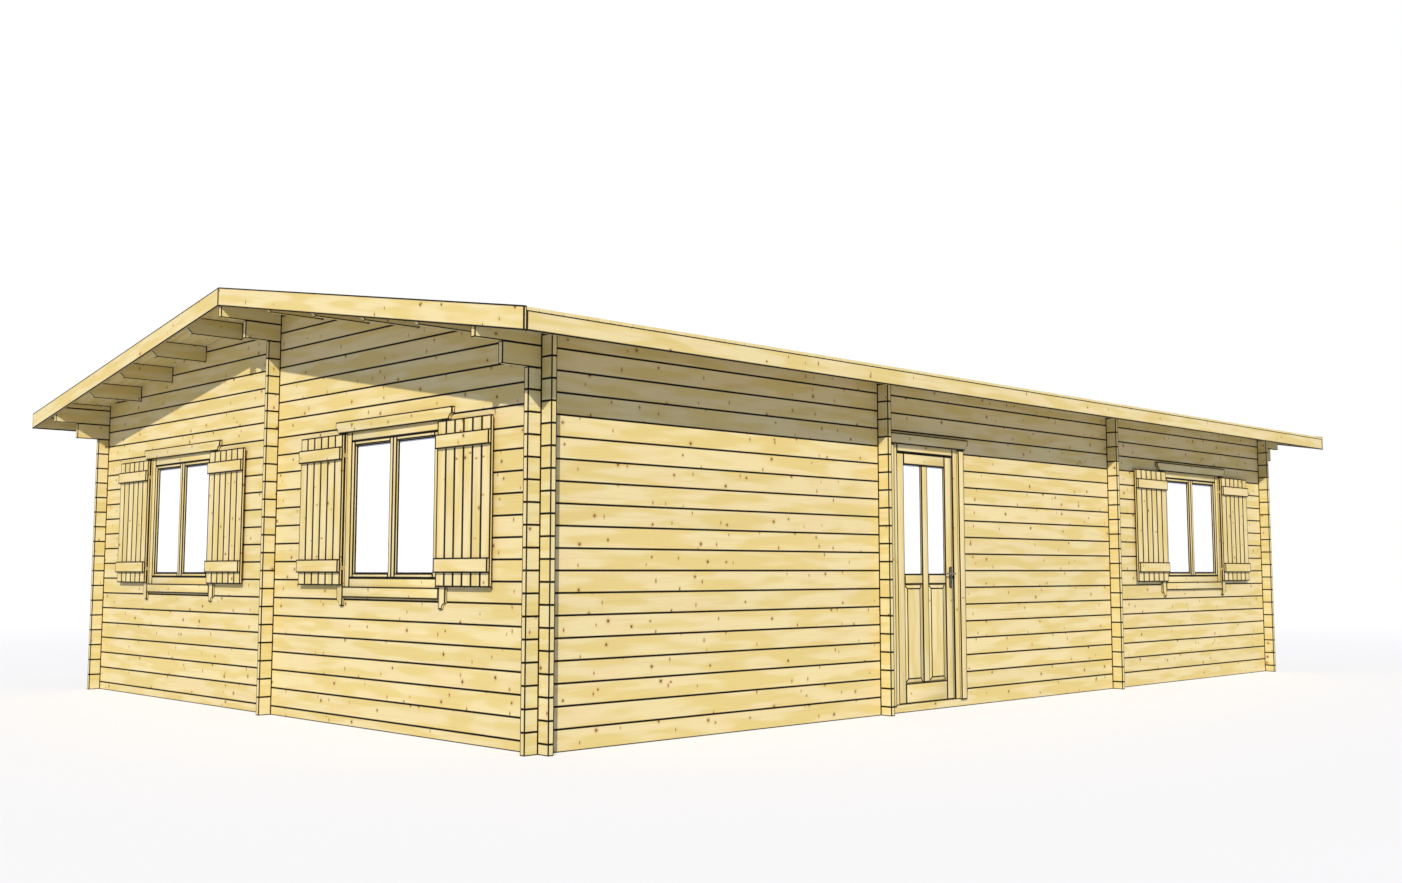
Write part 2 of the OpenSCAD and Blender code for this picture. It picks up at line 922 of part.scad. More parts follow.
// Shutter folded open against the wall on the side towards +X of its window
module shutter_panel() {
    x0 = pin_x + edge_off;
    x1 = x0 + shutter_w;
    knuckle_face = -shutter_pin_d - knuckle_r;
    shutter_board_field(x0, x1);
    for (z = shutter_hinge_z)
        box(x0, x1, -batten_front, -shutter_front, z - batten_h / 2, z + batten_h / 2);
    for (z = shutter_hinge_z)
        difference() {
            union() {
                translate([pin_x, -shutter_pin_d, z + pin_play])
                    cylinder(h = knuckle_h, r = knuckle_r);
                box(pin_x, x0 + skim, knuckle_face, knuckle_face + knuckle_leaf_t,
                    z + pin_play, z + pin_play + knuckle_h);
            }
            translate([pin_x, -shutter_pin_d, z - skim])
                cylinder(h = knuckle_h + 3 * skim, r = shutter_pin_r + pin_play);
        }
}

// Fixed hinge halves of that shutter, on the inner edge of its casing
module shutter_hinge_fixed() {
    for (z = shutter_hinge_z) {
        translate([pin_x, -shutter_pin_d, z - knuckle_h])
            cylinder(h = knuckle_h, r = knuckle_r);
        translate([pin_x, -shutter_pin_d, z - skim])
            cylinder(h = knuckle_h + skim, r = shutter_pin_r);
        box(trim_half - knuckle_leaf_t, trim_half, -shutter_pin_d, -knuckle_leaf_t, z - knuckle_h, z);
    }
}

// Shutter right (side 0) or left (side 1) of its window
module shutter(side) {
    mirror([side, 0, 0])
        shutter_panel();
}

// Fixed hinge halves of both shutters of a window
module shutter_pair_pins() {
    for (side = [0, 1])
        mirror([side, 0, 0])
            shutter_hinge_fixed();
}

// Fixed halves of every hinge, with their pins
module hinge_pins() {
    color(hinge_colour) {
        for (z = door_hinge_z)
            door_hinge_fixed(z);
        at_front(window_x)
            shutter_pair_pins();
        for (y = [-window_y, window_y]) {
            at_left(y)
                shutter_pair_pins();
            at_right(y)
                shutter_pair_pins();
        }
        for (x = [-window_x, window_x])
            at_back(x)
                shutter_pair_pins();
    }
}

module front_shutter_left() {
    color(board_colour)
        at_front(window_x)
            shutter(1);
}

module front_shutter_right() {
    color(board_colour)
        at_front(window_x)
            shutter(0);
}

// Shutters of the left gable, numbered from the back corner to the front corner
module gable_shutter(number) {
    color(board_colour)
        at_left(number < 3 ? window_y : -window_y)
            shutter(number % 2);
}

module right_gable_shutters() {
    color(board_colour)
        for (y = [-window_y, window_y])
            for (side = [0, 1])
                at_right(y)
                    shutter(side);
}

module back_shutters() {
    color(board_colour)
        for (x = [-window_x, window_x])
            for (side = [0, 1])
                at_back(x)
                    shutter(side);
}

// ---------------------------------------------------------------- door

module door_frame() {
    y1 = -half_w + door_frame_t;
    color(board_colour)
        difference() {
            box(door_x - door_frame_half, door_x + door_frame_half, -half_w, y1, floor_z, frame_top);
            box(door_x - door_clear_w / 2, door_x + door_clear_w / 2, -half_w - skim, y1 + skim,
                floor_z - skim, door_head_z);
        }
}

// Fixed half of a door hinge: plate on the jamb, knuckle and pin
module door_hinge_fixed(z) {
    union() {
        translate([door_pin_x, door_pin_y, z - door_knuckle_h])
            cylinder(h = door_knuckle_h, r = door_knuckle_r);
        translate([door_pin_x, door_pin_y, z - skim])
            cylinder(h = door_knuckle_h + skim, r = door_pin_r);
        box(door_pin_x - hinge_plate_w, door_pin_x - skim, leaf_y1, leaf_y1 + hinge_plate_t,
            z - door_knuckle_h, z);
    }
}

// Moving half of a door hinge: knuckle on the pin and plate on the leaf
module door_hinge_moving(z) {
    z0 = z + pin_play;
    difference() {
        union() {
            translate([door_pin_x, door_pin_y, z0])
                cylinder(h = door_knuckle_h, r = door_knuckle_r);
            box(door_pin_x + skim, door_pin_x + hinge_plate_w, leaf_y1, leaf_y1 + hinge_plate_t, z0,
                z0 + door_knuckle_h);
        }
        translate([door_pin_x, door_pin_y, z - skim])
            cylinder(h = door_knuckle_h + 3 * skim, r = door_pin_r + pin_play);
    }
}

// Casings and head board of the door; the head board ends against the cross wall's logs
module door_trim() {
    y1 = -half_w;
    stub = -cross_line_x + log_t / 2 + log_play;
    right = door_x + door_trim_half + casing_w + head_reach;
    color(board_colour) {
        for (side = [-1, 1]) {
            x = door_x + side * (door_trim_half + casing_w / 2);
            box(x - casing_w / 2, x + casing_w / 2, y1 - casing_t, y1, floor_z - casing_below,
                trim_top - log_play);
        }
        translate([0, y1, 0])
            head_board(stub, right, [right]);
    }
}

// Raised panel with bevels on its outer side, whose visible part begins at x0
module door_panel(x0) {
    x1 = x0 + pane_w;
    h = glass_hold;
    face = leaf_y0 + panel_set;
    bed = leaf_y0 + panel_bed;
    back = face + panel_t;
    b = panel_bevel;
    intersection() {
        box(x0 - h, x1 + h, face, back, panel_z0 - h, panel_z1 + h);
        translate([0, 0, (panel_z0 + panel_z1) / 2])
            linear_extrude(panel_h + 2 * h, center = true)
                polygon([
                    [x0 - h, back], [x0 - h, bed], [x0, bed], [x0 + b, face], [x1 - b, face], [x1, bed],
                    [x1 + h, bed], [x1 + h, back]
                ]);
        translate([x0 - 2 * h, 0, 0])
            rotate([90, 0, 90])
                linear_extrude(pane_w + 4 * h)
                    polygon([
                        [back, panel_z0 - h], [bed, panel_z0 - h], [bed, panel_z0], [face, panel_z0 + b],
                        [face, panel_z1 - b], [bed, panel_z1], [bed, panel_z1 + h], [back, panel_z1 + h]
                    ]);
    }
}

pane_x = [leaf_x0 + stile_w, leaf_x0 + stile_w + pane_w + mullion_w];
leaf_glass_y = leaf_y0 + door_glass_depth;

// Leaf with two panes above and two panels below
module door_leaf() {
    color(board_colour) {
        difference() {
            box(leaf_x0, leaf_x1, leaf_y0, leaf_y1, leaf_z0, leaf_z1);
            for (x = pane_x) {
                box(x, x + pane_w, leaf_y0 - skim, leaf_y1 + skim, pane_z0, pane_z1);
                box(x, x + pane_w, leaf_y0 - skim, leaf_y1 + skim, panel_z0, panel_z1);
                door_pane(x, glass_play);
            }
            translate([handle_x, leaf_y0 - skim, handle_z])
                rotate([-90, 0, 0])
                    cylinder(h = leaf_t + 2 * skim, r = spindle_hole_r);
        }
        for (x = pane_x)
            door_panel(x);
    }
}

// Pane of the door whose visible part begins at x
module door_pane(x, play) {
    h = glass_hold + play;
    box(x - h, x + pane_w + h, leaf_glass_y - play, leaf_glass_y + glass_t + play, pane_z0 - h, pane_z1 + h);
}

module door_glass() {
    color(glass_colour)
        for (x = pane_x)
            door_pane(x, 0);
}

// Handle plates on both faces of the leaf, with the hole for the lever's neck
module handle_plates() {
    for (y = [leaf_y0 - plate_t, leaf_y1])
        difference() {
            box(handle_x - plate_w / 2, handle_x + plate_w / 2, y, y + plate_t,
                handle_z - plate_drop - plate_h / 2, handle_z - plate_drop + plate_h / 2);
            translate([handle_x, y - skim, handle_z])
                rotate([-90, 0, 0])
                    cylinder(h = plate_t + 2 * skim, r = neck_r + neck_play);
        }
}

// Handle plates and the hinge halves that turn with the leaf
module door_fittings() {
    color(handle_colour) {
        handle_plates();
        for (z = door_hinge_z)
            door_hinge_moving(z);
    }
}

// Spindle with a neck and a lever on each side
module door_handle() {
    out = leaf_y0 - plate_t - lever_stand;
    in = leaf_y1 + plate_t + lever_stand;
    color(handle_colour)
        union() {
            box(handle_x - spindle_w / 2, handle_x + spindle_w / 2, out, in, handle_z - spindle_w / 2,
                handle_z + spindle_w / 2);
            for (y = [out, leaf_y1 + skim])
                translate([handle_x, y, handle_z])
                    rotate([-90, 0, 0])
                        cylinder(h = plate_t + lever_stand - skim, r = neck_r);
            for (y = [out, in])
                translate([handle_x + neck_r, y, handle_z])
                    rotate([0, -90, 0])
                        cylinder(h = lever_l, r = lever_d / 2);
        }
}

front_sill_log();
front_wall_left();
front_wall_right();
front_wall_top();
back_wall();
left_gable_wall();
right_gable_wall();
left_cross_wall();
right_cross_wall();
centre_wall();
front_purlins();
back_purlins();
front_roof_deck();
back_roof_deck();
left_barge_boards();
right_barge_boards();
front_fascia();
back_fascia();
floor_boards();
floor_joists();
front_window_frame();
left_gable_window_frames();
right_gable_window_frames();
back_window_frames();
front_window_trim();
left_gable_window_trim();
right_gable_window_trim();
back_window_trim();
window_glass();
hinge_pins();
front_shutter_left();
front_shutter_right();
gable_shutter(1);  // gable_shutter_1
gable_shutter(2);  // gable_shutter_2
gable_shutter(3);  // gable_shutter_3
gable_shutter(4);  // gable_shutter_4
right_gable_shutters();
back_shutters();
door_frame();
door_trim();
door_leaf();
door_glass();
door_fittings();
door_handle();
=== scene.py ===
"""Log cabin: crossed spruce logs, a boarded roof, moulded windows, batten shutters and a panelled door.

Lengths are in metres in the frame of the construction model: X along the front wall, the front faces -Y,
Z up from the ground. Windows, shutters and trim are first made for a wall facing -Y, in a window's own
place: X across from its middle, Y into the wall from its outer face, Z up from the ground.
"""
import logging
import math
import random
from dataclasses import dataclass, field, replace
from enum import Enum
from typing import Callable, Optional, Sequence

import bpy
import numpy as np
from mathutils import Matrix, Vector


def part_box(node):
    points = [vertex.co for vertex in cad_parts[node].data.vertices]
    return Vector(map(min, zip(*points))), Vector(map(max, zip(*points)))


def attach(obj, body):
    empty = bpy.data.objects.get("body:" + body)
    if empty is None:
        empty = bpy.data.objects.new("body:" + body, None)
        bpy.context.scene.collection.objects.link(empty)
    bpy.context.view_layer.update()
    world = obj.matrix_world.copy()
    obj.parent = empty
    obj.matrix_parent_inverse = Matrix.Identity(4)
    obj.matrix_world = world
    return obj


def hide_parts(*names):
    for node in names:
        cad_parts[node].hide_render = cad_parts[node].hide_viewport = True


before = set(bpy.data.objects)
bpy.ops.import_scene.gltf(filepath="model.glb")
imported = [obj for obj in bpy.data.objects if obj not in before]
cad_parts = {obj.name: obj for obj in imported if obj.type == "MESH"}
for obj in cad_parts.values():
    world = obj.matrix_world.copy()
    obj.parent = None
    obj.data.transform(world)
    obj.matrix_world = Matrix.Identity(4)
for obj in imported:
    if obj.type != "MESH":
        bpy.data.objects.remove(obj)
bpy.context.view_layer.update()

LOG = logging.getLogger("cabin")
FIBRE = "fibre"
HALF = "half"
TONE = "tone"
ATTRIBUTES = {
    FIBRE: ("FLOAT_VECTOR", "vector"),
    HALF: ("FLOAT_VECTOR", "vector"),
    TONE: ("FLOAT", "value"),
}
ROOT = "building"
NEAR = 0.00001  # two places closer than this are one
LONG = 0.5  # an edge that spans more than this runs the length of a board
SQUARE = 0.9  # share of a normal along an axis from which a face is square to that axis
SLANTED = 0.5  # share of a normal along each of two axes from which a face lies between them
COVE_PROFILE = 0.086  # a hollow quarter round
COVE_STEPS = 10  # flat strips across a cove
BEAD_ROUND = 0.6  # share of a glazing bead's size that is rounded off
MIRROR_X = Matrix.Diagonal((-1.0, 1.0, 1.0, 1.0))
MIRROR_Y = Matrix.Diagonal((1.0, -1.0, 1.0, 1.0))

Colour = tuple[float, float, float]
Socket = bpy.types.NodeSocket
Piece = bpy.types.Object


class Axis(Enum):
    """Direction that the fibres of a timber run in."""

    X = 0
    Y = 1
    Z = 2


class Role(Enum):
    """Material slot of a timber's faces."""

    FACE = 0
    END = 1
    EDGE = 2
    METAL = 3


class Side(Enum):
    """Outer walls, by the words that the names of their window frames begin with."""

    FRONT = "front"
    LEFT = "left_gable"
    RIGHT = "right_gable"
    BACK = "back"


def near(first: float, second: float) -> bool:
    """Say whether two places are one."""
    return abs(first - second) < NEAR


def lengthways(axis: Axis, first: Vector, second: Vector) -> bool:
    """Say whether an edge runs the length of a board along an axis, from the edge's two ends."""
    return abs(first[axis.value] - second[axis.value]) > LONG


# ---------------------------------------------------------------- bench work


class Bench:
    """Modelling steps that every sub-assembly uses."""

    @staticmethod
    def only(piece: Piece) -> Piece:
        """Make a piece the only selected one, and the active one.

        Args:
            piece: The mesh object to work on.

        Returns:
            The same piece.
        """
        bpy.ops.object.select_all(action="DESELECT")
        piece.select_set(True)
        bpy.context.view_layer.objects.active = piece
        return piece

    @staticmethod
    def settle() -> Piece:
        """Apply the active piece's place, turn and scale to its mesh, and return it."""
        bpy.ops.object.transform_apply(location=True, rotation=True, scale=True)
        return bpy.context.active_object

    @staticmethod
    def block(name: str, low: Sequence[float], high: Sequence[float]) -> Piece:
        """Add a box between two corners.

        Args:
            name: Name of the new piece.
            low: Lowest corner.
            high: Highest corner.

        Returns:
            The new piece, with its place in its mesh.
        """
        bpy.ops.object.select_all(action="DESELECT")
        bpy.ops.mesh.primitive_cube_add(size=1.0, location=(Vector(low) + Vector(high)) / 2)
        piece = bpy.context.active_object
        piece.name = name
        piece.scale = Vector(high) - Vector(low)
        return Bench.settle()

    @staticmethod
    def rod(
        name: str, start: Sequence[float], end: Sequence[float], radius: float, sides: int = 24
    ) -> Piece:
        """Add a round rod between two points.

        Args:
            name: Name of the new piece.
            start: Middle of one end.
            end: Middle of the other end.
            radius: Radius of the rod.
            sides: Number of flat sides.

        Returns:
            The new piece, with its place in its mesh.
        """
        run = Vector(end) - Vector(start)
        bpy.ops.object.select_all(action="DESELECT")
        bpy.ops.mesh.primitive_cylinder_add(
            vertices=sides, radius=radius, depth=run.length,
            location=(Vector(start) + Vector(end)) / 2, rotation=run.to_track_quat("Z", "Y").to_euler(),
        )
        bpy.context.active_object.name = name
        return Bench.settle()

    @staticmethod
    def knuckle(foot: Sequence[float], height: float, radius: float, hole: float) -> Piece:
        """Add an upright tube that turns on a pin.

        Args:
            foot: Middle of its lower end.
            height: Its height.
            radius: Its outer radius.
            hole: Radius of its hole.

        Returns:
            The new piece.
        """
        piece = Bench.rod("knuckle", foot, (foot[0], foot[1], foot[2] + height), radius)
        Bench.pick_faces(piece, lambda middle, normal: abs(normal.z) > SQUARE)
        bpy.ops.mesh.inset(thickness=radius - hole, depth=0.0)
        bpy.ops.mesh.bridge_edge_loops()
        Bench.done()
        return piece

    @staticmethod
    def edit_all(piece: Piece) -> None:
        """Go into edit mode with all of a piece selected.

        Args:
            piece: The piece to edit.
        """
        Bench.only(piece)
        bpy.ops.object.mode_set(mode="EDIT")
        bpy.ops.mesh.select_all(action="SELECT")

    @staticmethod
    def unpick(piece: Piece, kind: str) -> None:
        """Take a piece in hand with nothing on it selected, in object mode.

        Args:
            piece: The piece to edit.
            kind: What is picked next, EDGE or FACE.
        """
        Bench.only(piece)
        bpy.ops.object.mode_set(mode="EDIT")
        bpy.ops.mesh.select_mode(type=kind)
        bpy.ops.mesh.select_all(action="DESELECT")
        bpy.ops.object.mode_set(mode="OBJECT")

    @staticmethod
    def pick_edges(piece: Piece, test: Callable[[Vector, Vector], bool]) -> None:
        """Go into edit mode with the edges selected that a test holds for.

        Args:
            piece: The piece to edit.
            test: Says, from an edge's two ends, whether it is wanted.
        """
        Bench.unpick(piece, "EDGE")
        points = piece.data.vertices
        for edge in piece.data.edges:
            start, end = edge.vertices
            edge.select = bool(test(points[start].co, points[end].co))
        bpy.ops.object.mode_set(mode="EDIT")

    @staticmethod
    def pick_faces(piece: Piece, test: Callable[[Vector, Vector], bool]) -> None:
        """Go into edit mode with the faces selected that a test holds for.

        Args:
            piece: The piece to edit.
            test: Says, from a face's middle and normal, whether it is wanted.
        """
        Bench.unpick(piece, "FACE")
        for face in piece.data.polygons:
            face.select = bool(test(face.center, face.normal))
        bpy.ops.object.mode_set(mode="EDIT")

    @staticmethod
    def done() -> None:
        """Leave edit mode."""
        bpy.ops.object.mode_set(mode="OBJECT")

    @staticmethod
    def bevel_edges(
        piece: Piece, test: Callable[[Vector, Vector], bool], width: float, segments: int = 1,
        profile: float = 0.5,
    ) -> None:
        """Bevel chosen edges in edit mode.

        Args:
            piece: The piece to edit.
            test: Says, from an edge's two ends, whether it is bevelled.
            width: Offset of the bevel.
            segments: Number of strips across it.
            profile: 0.5 for a round, less than 0.25 for a hollow.
        """
        Bench.pick_edges(piece, test)
        bpy.ops.mesh.bevel(
            offset=width, offset_type="OFFSET", segments=segments, profile=profile, affect="EDGES",
            clamp_overlap=False,
        )
        Bench.done()

    @staticmethod
    def cut(piece: Piece, point: Sequence[float], normal: Sequence[float]) -> None:
        """Cut off what lies on the normal's side of a plane, and close the cut.

        Args:
            piece: The piece to edit.
            point: A point on the plane.
            normal: The plane's normal, towards what goes.
        """
        Bench.edit_all(piece)
        bpy.ops.mesh.bisect(plane_co=point, plane_no=normal, use_fill=True, clear_outer=True)
        Bench.done()

    @staticmethod
    def carve(piece: Piece, cutter: Piece) -> None:
        """Take a cutter's shape out of a piece, and delete the cutter.

        Args:
            piece: The piece to cut.
            cutter: The shape that is taken out.
        """
        Bench.only(piece)
        opening = piece.modifiers.new("opening", "BOOLEAN")
        opening.operation = "DIFFERENCE"
        opening.object = cutter
        bpy.ops.object.modifier_apply(modifier=opening.name)
        Bench.discard(cutter)

    @staticmethod
    def soften(
        piece: Piece, width: float, segments: int = 2, slot: int = -1, degrees: float = 31.0
    ) -> Piece:
        """Round every sharp edge with a bevel modifier, and apply it.

        Args:
            piece: The piece to finish.
            width: Width of the rounding.
            segments: Number of strips across it.
            slot: Material slot of the rounding, or -1 for that of the faces beside it.
            degrees: Angle from which an edge is sharp.

        Returns:
            The same piece.
        """
        Bench.only(piece)
        rounding = piece.modifiers.new("rounding", "BEVEL")
        rounding.width = width
        rounding.segments = segments
        rounding.limit_method = "ANGLE"
        rounding.angle_limit = math.radians(degrees)
        rounding.material = slot
        bpy.ops.object.modifier_apply(modifier=rounding.name)
        return piece

    @staticmethod
    def smooth(piece: Piece, degrees: float = 32.0) -> Piece:
        """Shade a piece smooth over edges flatter than an angle, and return it.

        Args:
            piece: The piece to finish.
            degrees: Angle from which an edge is sharp.

        Returns:
            The same piece.
        """
        Bench.only(piece)
        bpy.ops.object.shade_smooth_by_angle(angle=math.radians(degrees))
        return piece

    @staticmethod
    def repeat(piece: Piece, count: int, step: Sequence[float]) -> Piece:
        """Repeat a piece in a row, within one mesh.

        Args:
            piece: The piece to repeat.
            count: Number of copies, the first included.
            step: From one copy to the next.

        Returns:
            The same piece.
        """
        Bench.only(piece)
        row = piece.modifiers.new("row", "ARRAY")
        row.count = count
        row.use_relative_offset = False
        row.use_constant_offset = True
        row.constant_offset_displace = step
        bpy.ops.object.modifier_apply(modifier=row.name)
        return piece

    @staticmethod
    def join(name: str, parts: Sequence[Piece]) -> Piece:
        """Join parts into one piece.

        Args:
            name: Name of the joined piece.
            parts: The pieces to join, the first of which stays.

        Returns:
            The joined piece.
        """
        bpy.ops.object.select_all(action="DESELECT")
        for part in parts:
            part.select_set(True)
        bpy.context.view_layer.objects.active = parts[0]
        if len(parts) > 1:
            bpy.ops.object.join()
        parts[0].name = name
        parts[0].data.name = name
        return parts[0]

    @staticmethod
    def copy(piece: Piece, name: str, place: Matrix) -> Piece:
        """Copy a piece with its own mesh, moved, turned or mirrored.

        Args:
            piece: The piece to copy.
            name: Name of the copy.
            place: Where the copy goes.

        Returns:
            The copy.
        """
        twin = bpy.data.objects.new(name, piece.data.copy())
        bpy.context.scene.collection.objects.link(twin)
        twin.data.transform(place)
        if place.determinant() < 0:
            twin.data.flip_normals()
        return twin

    @staticmethod
    def discard(piece: Piece) -> None:
        """Delete a pattern piece that has been copied."""
        bpy.data.objects.remove(piece, do_unlink=True)

    @staticmethod
    def seat(piece: Piece, body: str, slot: str, *nodes: str) -> Piece:
        """Attach a finished piece to its body and hide the nodes that it stands for.

        Args:
            piece: The finished piece.
            body: Body that it moves with.
            slot: Material slot of the record, not used.
            *nodes: Nodes of the construction model that it replaces.

        Returns:
            The same piece.
        """
        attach(piece, body)
        if nodes:
            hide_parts(*nodes)
        LOG.info("%s: %d faces", piece.name, len(piece.data.polygons))
        return piece


# ---------------------------------------------------------------- finishes


class NodePad:
    """Wires the nodes of one material."""

    def __init__(self, name: str) -> None:
        """Start an empty material.

        Args:
            name: Name of the material.
        """
        self.material = bpy.data.materials.new(name)
        self.material.use_nodes = True
        self.nodes = self.material.node_tree.nodes
        self.links = self.material.node_tree.links
        self.nodes.clear()
        self.shader = self.nodes.new("ShaderNodeBsdfPrincipled")
        output = self.nodes.new("ShaderNodeOutputMaterial")
        self.links.new(self.shader.outputs["BSDF"], output.inputs["Surface"])

    def feed(self, node: bpy.types.Node, values: dict[str | int, object]) -> None:
        """Set or link a node's inputs.

        Args:
            node: The node.
            values: Input name or number, and the number, colour or socket that it takes.
        """
        for key, value in values.items():
            if isinstance(value, bpy.types.NodeSocket):
                self.links.new(value, node.inputs[key])
            else:
                node.inputs[key].default_value = value

    def attribute(self, name: str) -> bpy.types.Node:
        """Return a node that reads a mesh attribute.

        Args:
            name: Name of the attribute.

        Returns:
            The node.
        """
        node = self.nodes.new("ShaderNodeAttribute")
        node.attribute_name = name
        return node

    def place(self) -> Socket:
        """Return the place on a piece, which is its place in the frame."""
        return self.nodes.new("ShaderNodeTexCoord").outputs["Object"]

    def paint(self, colour: Socket) -> None:
        """Feed a colour into the shader."""
        self.links.new(colour, self.shader.inputs["Base Color"])

    def math(self, operation: str, *values: object, kind: str = "ShaderNodeMath") -> Socket:
        """Return the result of a math node.

        Args:
            operation: Name of the operation.
            *values: Its inputs.
            kind: Type of the node.

        Returns:
            The result.
        """
        node = self.nodes.new(kind)
        node.operation = operation
        self.feed(node, dict(enumerate(values)))
        return node.outputs[0]

    def times(self, first: object, second: object) -> Socket:
        """Return the product of two numbers."""
        return self.math("MULTIPLY", first, second)

    def plus(self, first: object, second: object) -> Socket:
        """Return the sum of two numbers."""
        return self.math("ADD", first, second)

    def minus(self, first: object, second: object) -> Socket:
        """Return the first number less the second."""
        return self.math("SUBTRACT", first, second)

    def vectors(self, operation: str, *values: object) -> Socket:
        """Return the result of a vector math node."""
        return self.math(operation, *values, kind="ShaderNodeVectorMath")

    def vector(self, *values: object) -> Socket:
        """Return a vector put together from three numbers or sockets.

        Args:
            *values: Its parts.

        Returns:
            The vector.
        """
        node = self.nodes.new("ShaderNodeCombineXYZ")
        self.feed(node, dict(enumerate(values)))
        return node.outputs[0]

    def stretched(self, place: Sequence[Socket], factors: Sequence[float]) -> Socket:
        """Return a place with each of its parts multiplied by its own factor.

        Args:
            place: The three parts of the place.
            factors: The three factors.

        Returns:
            The stretched place.
        """
        return self.vector(
            *(part if factor == 1.0 else self.times(part, factor) for part, factor in zip(place, factors))
        )

    def split(self, value: Socket) -> tuple[Socket, Socket, Socket]:
        """Return the three parts of a vector.

        Args:
            value: The vector.

        Returns:
            Its parts.
        """
        node = self.nodes.new("ShaderNodeSeparateXYZ")
        self.feed(node, {0: value})
        return node.outputs[0], node.outputs[1], node.outputs[2]

    def ramp(
        self, value: Socket, start: float | Socket, end: float | Socket, low: float, high: float
    ) -> Socket:
        """Return a value carried smoothly from one range to another.

        Args:
            value: The input.
            start: Input at which the result is low.
            end: Input at which the result is high.
            low: Result at the start.
            high: Result at the end.

        Returns:
            The carried value.
        """
        node = self.nodes.new("ShaderNodeMapRange")
        node.interpolation_type = "SMOOTHSTEP"
        self.feed(node, {0: value, 1: start, 2: end, 3: low, 4: high})
        return node.outputs[0]

    def noise(self, place: Socket, scale: float, detail: float = 2.0, rough: float = 0.5) -> Socket:
        """Return a noise value.

        Args:
            place: Where it is read.
            scale: Waves per metre.
            detail: Number of finer layers.
            rough: Weight of the finer layers.

        Returns:
            The noise, mostly between 0.3 and 0.7.
        """
        node = self.nodes.new("ShaderNodeTexNoise")
        self.feed(node, {"Vector": place, "Scale": scale, "Detail": detail, "Roughness": rough})
        return node.outputs["Fac"]

    def cells(self, place: Socket, scale: float) -> tuple[Socket, Socket]:
        """Return the distance to the nearest scattered point of a plane, and that point's random colour.

        Args:
            place: Where it is read.
            scale: Points per metre.

        Returns:
            The distance, in the spacing of the points, and the colour.
        """
        node = self.nodes.new("ShaderNodeTexVoronoi")
        node.voronoi_dimensions = "2D"
        self.feed(node, {"Vector": place, "Scale": scale})
        return node.outputs["Distance"], node.outputs["Color"]

    def mix(self, amount: float | Socket, first: object, second: object, blend: str = "MIX") -> Socket:
        """Return a mix of two colours.

        Args:
            amount: Share of the second.
            first: First colour or socket.
            second: Second colour or socket.
            blend: How they are mixed.

        Returns:
            The mixed colour.
        """
        node = self.nodes.new("ShaderNodeMix")
        node.data_type = "RGBA"
        node.blend_type = blend
        ends = [(*c, 1.0) if isinstance(c, tuple) else c for c in (first, second)]
        self.feed(node, {0: amount, 6: ends[0], 7: ends[1]})
        return node.outputs[2]

    def shade(self, colour: Socket, amount: Socket) -> Socket:
        """Return a colour made lighter or darker by a number."""
        return self.mix(1.0, colour, self.vector(amount, amount, amount), "MULTIPLY")

    def bump(self, height: Socket, strength: float, depth: float) -> None:
        """Feed a height into the shader's normal.

        Args:
            height: The height.
            strength: How strongly it shows.
            depth: Depth in metres.
        """
        node = self.nodes.new("ShaderNodeBump")
        self.feed(node, {"Height": height, "Strength": strength, "Distance": depth})
        self.links.new(node.outputs["Normal"], self.shader.inputs["Normal"])


